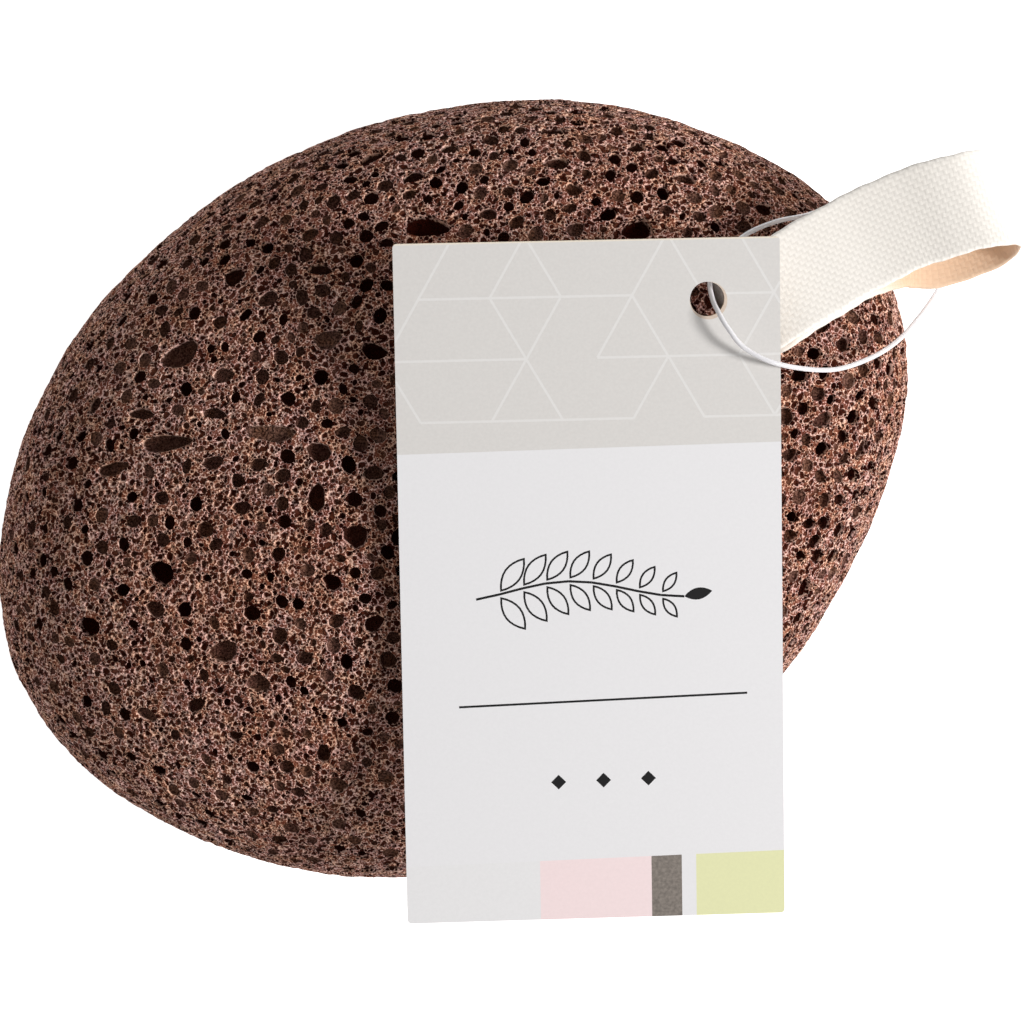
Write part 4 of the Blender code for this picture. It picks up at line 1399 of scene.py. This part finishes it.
def sprig_shapes():
    """A leafy sprig across the middle of the card, and three small lozenges below the line."""
    shapes = []
    places = range(LEAF_PAIRS + 2)
    swing, pace, phase, level = STEM_WAVE
    stem = [(STEM_START + STEM_STEP * k, swing * math.sin(pace * k + phase) + level) for k in places]
    for start, end in zip(stem, stem[1:]):
        shapes.append(("ink", stroke(start, end, STEM_WIDTH)))
    for k in range(1, LEAF_PAIRS + 1):
        for side in (1, -1):
            base = Vector(stem[k]) + Vector((LEAF_FOOT[0], side * LEAF_FOOT[1]))
            size = LEAF_SIZE - LEAF_SHRINK * k
            tip = base + Vector((LEAF_REACH[0], side * LEAF_REACH[1])) * size
            shapes.append(("ink", leaf(base, tip, LEAF_WIDTH * size)))
            shapes.append(("card", leaf(base, tip, LEAF_WIDTH * size, LEAF_LINE)))
    end = Vector(stem[-1])
    shapes.append(("ink", leaf(end, end + Vector(END_LEAF_REACH), END_LEAF_WIDTH)))
    for x in LOZENGES:
        y = LOZENGE_HEIGHT + LOZENGE_TILT * x
        corners = ((-LOZENGE_HALF, 0), (0, -LOZENGE_HALF), (LOZENGE_HALF, 0), (0, LOZENGE_HALF))
        shapes.append(("ink", [(x + right, y + up) for right, up in corners]))
    return shapes


def tag_mesh(inks):
    """The card with its printed areas cut into its front face, its plain back and its cut edge."""
    shapes = print_shapes()
    shapes.append(("hole", circle(TAG_HOLE, TAG_HOLE_DIAMETER / 2)))
    points = []
    rings = []
    for _, outline in shapes:
        rings.append(list(range(len(points), len(points) + len(outline))))
        points += [Vector(point) for point in outline]
    flat, _, faces, _, _, sources = delaunay_2d_cdt(points, [], rings, 1, PRINT_TOLERANCE)
    kept = []
    slots = []
    for face, owners in zip(faces, sources):
        if 0 in owners and len(shapes) - 1 not in owners:
            kept.append(face)
            slots.append(inks.index(shapes[max(owners)][0]))
    shape = bmesh.new()
    front = [shape.verts.new(Vector((*point, TAG_THICKNESS / 2)) * MM) for point in flat]
    back = [shape.verts.new(Vector((*point, -TAG_THICKNESS / 2)) * MM) for point in flat]
    for face, slot in zip(kept, slots):
        shape.faces.new([front[k] for k in face]).material_index = slot
    open_edges = [edge for edge in shape.edges if edge.is_boundary]
    number = {vertex: k for k, vertex in enumerate(front)}
    for edge in open_edges:
        a, b = (number[loop_vertex] for loop_vertex in edge.verts)
        shape.faces.new((front[a], front[b], back[b], back[a])).material_index = inks.index("board")
    for face in kept:
        shape.faces.new([back[k] for k in reversed(face)]).material_index = inks.index("card")
    bmesh.ops.delete(shape, geom=[v for v in shape.verts if not v.link_faces], context="VERTS")
    bmesh.ops.recalc_face_normals(shape, faces=shape.faces)
    shape.transform(tag_matrix())
    mesh = bpy.data.meshes.new("hang tag")
    shape.to_mesh(mesh)
    shape.free()
    return mesh


SPECKLE_SIZE = 0.0003
PAPER_HEIGHT = 0.00003


def ink_material(name, colour, speckle):
    """Offset ink under a matt film on 0.5 mm boxboard: smooth, faintly satin, with fine paper grain."""
    material, tree, shader = new_material(name, 0.42, Specular_IOR_Level=0.4)
    place = add_node(tree, "ShaderNodeTexCoord").outputs["Object"]
    # Half-tone speckle of the print, drawn at 0.3 mm so that it shows
    grain = add_node(tree, "ShaderNodeTexNoise", {"Vector": place, "Scale": 1 / SPECKLE_SIZE, "Detail": 2.0})
    base = Vector(linear(colour)[:3])
    tones = set_ramp(add_node(tree, "ShaderNodeValToRGB", {"Fac": grain}), [
        (0.3, (*(base * (1 - speckle)), 1)),
        (0.7, (*(base * (1 + speckle / 2)), 1)),
    ])
    tree.links.new(tones.outputs[0], shader.inputs["Base Color"])
    bump = add_node(tree, "ShaderNodeBump", {"Height": grain, "Strength": 0.12, "Distance": PAPER_HEIGHT})
    tree.links.new(bump.outputs[0], shader.inputs["Normal"])
    return material


class PUMICE_OT_tag(bpy.types.Operator):
    """Build the printed card hang tag"""

    bl_idname = "pumice.tag"
    bl_label = "Hang tag"

    def execute(self, context):
        settings = context.scene.pumice_tag
        inks = {
            "card": ink_material("white laminated card", settings.card_colour, 0.015),
            "header": ink_material("warm grey ink on card", settings.header_colour, 0.03),
            "pale": ink_material("pale grey ink on card", "#F1EFEF", 0.02),
            "pink": ink_material("pink ink on card", settings.pink_colour, 0.02),
            "slate": ink_material("slate half-tone ink on card", settings.slate_colour, 0.28),
            "lime": ink_material("lime ink on card", settings.lime_colour, 0.02),
            "ink": ink_material("black ink on card", "#151415", 0.05),
            "line": ink_material("pale lattice ink on card", "#ECE9E6", 0.02),
            "worn": ink_material("worn edge of the card", "#F3E9D9", 0.04),
            "stain": ink_material("rubbed card round the hole", "#DCC9B8", 0.1),
            "board": ink_material("cut boxboard edge", settings.board_colour, 0.12),
        }
        tag = add_object("printed_tag", tag_mesh(list(inks)), *inks.values())
        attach(tag, "root")
        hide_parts("hang_tag")
        return {"FINISHED"}


# The nylon ring

def ring_tree():
    """Sweeps a round filament along a closed line of edges."""
    tree, start, out = new_tree("filament on its course", [
        ("Diameter", "NodeSocketFloat", 0.0005),
        ("Sides", "NodeSocketInt", 12),
        ("Material", "NodeSocketMaterial", None),
    ])
    line = add_node(tree, "GeometryNodeMeshToCurve", {"Mesh": start})
    half = add_node(tree, "ShaderNodeMath", {0: start.outputs["Diameter"], 1: 0.5}, operation="MULTIPLY")
    section = add_node(tree, "GeometryNodeCurvePrimitiveCircle", {
        "Resolution": start.outputs["Sides"], "Radius": half,
    })
    tube = add_node(tree, "GeometryNodeCurveToMesh", {"Curve": line, "Profile Curve": section})
    close_tree(tree, tube.outputs[0], start.outputs["Material"], out)
    return tree


def nylon_material():
    """Clear nylon monofilament, drawn: smooth and see-through, with bright lines of light along it."""
    material, _, shader = new_material("clear nylon filament", 0.18, IOR=1.53, Transmission_Weight=0.3)
    shader.inputs["Base Color"].default_value = linear("#FCFAFC")
    return material


class PUMICE_OT_ring(bpy.types.Operator):
    """Build the clear ring through the tag and round the foot of the loop"""

    bl_idname = "pumice.ring"
    bl_label = "Nylon ring"

    def execute(self, context):
        course = smooth_course(RING_COURSE, RING_STEPS, closed=True) * MM
        mesh = bpy.data.meshes.new("ring course")
        count = len(course)
        mesh.from_pydata(course.tolist(), [(k, (k + 1) % count) for k in range(count)], [])
        carrier = add_object("ring_course", mesh)
        diameter = context.scene.pumice_ring.diameter
        made = grow(carrier, ring_tree(), {"Diameter": diameter, "Material": nylon_material()})
        bpy.data.objects.remove(carrier)
        made.shade_smooth()
        ring = add_object("nylon_ring", made)
        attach(ring, "root")
        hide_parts("tag_ring")
        return {"FINISHED"}


# The stage

KEY_PLACE = (0.78, -0.10, 0.52)
KEY_TARGET = (0.0, 0.0, 0.03)
KEY_SIZE = 0.25
FLOOR_HALF = 4


def add_key(power):
    """The round soft light from the right."""
    light = bpy.data.lights.new("key", "AREA")
    light.shape = "DISK"
    light.size = KEY_SIZE
    light.energy = power
    lamp = add_object("key", light)
    lamp.location = KEY_PLACE
    lamp.rotation_euler = (Vector(KEY_TARGET) - lamp.location).to_track_quat("-Z", "Y").to_euler()


def add_floor():
    """White backdrop paper, lit so that it shows as pure white."""
    corners = [(x * FLOOR_HALF, y * FLOOR_HALF, 0) for x, y in ((-1, -1), (1, -1), (1, 1), (-1, 1))]
    mesh = bpy.data.meshes.new("floor")
    mesh.from_pydata(corners, [], [(0, 1, 2, 3)])
    paper, _, shader = new_material("white backdrop paper", 0.9, Emission_Strength=0.85)
    shader.inputs["Base Color"].default_value = linear("#F6F6F6")
    shader.inputs["Emission Color"].default_value = (1, 1, 1, 1)
    add_object("floor", mesh, paper)


class PUMICE_OT_stage(bpy.types.Operator):
    """Set the camera, the soft lights and the pale floor"""

    bl_idname = "pumice.stage"
    bl_label = "Stage"

    def execute(self, context):
        settings = context.scene.pumice_stage
        camera = bpy.data.cameras.new("camera")
        camera.lens = settings.lens
        camera.sensor_width = 36
        camera.clip_start = 0.01
        eye = add_object("camera", camera)
        eye.location = settings.camera_place
        context.scene.camera = eye
        context.scene.view_settings.view_transform = "Standard"

        world = bpy.data.worlds.new("soft surroundings")
        world.use_nodes = True
        world.node_tree.nodes["Background"].inputs["Color"].default_value = (1, 1, 1, 1)
        world.node_tree.nodes["Background"].inputs["Strength"].default_value = settings.fill
        context.scene.world = world
        add_floor()
        add_key(settings.key_power)
        return {"FINISHED"}


class PUMICE_PT_panel(bpy.types.Panel):
    """The settings and the steps of the foot stone"""

    bl_label = "Foot stone"
    bl_idname = "PUMICE_PT_panel"
    bl_space_type = "VIEW_3D"
    bl_region_type = "UI"
    bl_category = "Foot stone"

    def draw(self, context):
        for name, group in SETTINGS.items():
            part = name.removeprefix("pumice_")
            box = self.layout.box()
            settings = getattr(context.scene, name)
            for label in group.__annotations__:
                box.prop(settings, label)
            box.operator(f"pumice.{part}")


SETTINGS = {
    "pumice_stage": StageSettings,
    "pumice_stone": StoneSettings,
    "pumice_tape": TapeSettings,
    "pumice_tag": TagSettings,
    "pumice_ring": RingSettings,
}
CLASSES = (
    *SETTINGS.values(),
    PUMICE_OT_stage,
    PUMICE_OT_stone,
    PUMICE_OT_tape,
    PUMICE_OT_tag,
    PUMICE_OT_ring,
    PUMICE_PT_panel,
)


def register():
    for item in CLASSES:
        bpy.utils.register_class(item)
    for name, group in SETTINGS.items():
        setattr(bpy.types.Scene, name, PointerProperty(type=group))


def unregister():
    for name in SETTINGS:
        delattr(bpy.types.Scene, name)
    for item in reversed(CLASSES):
        bpy.utils.unregister_class(item)


def main():
    register()
    bpy.ops.pumice.stage()
    bpy.ops.pumice.stone()
    bpy.ops.pumice.tape()
    bpy.ops.pumice.tag()
    bpy.ops.pumice.ring()


if __name__ == "__main__":
    main()
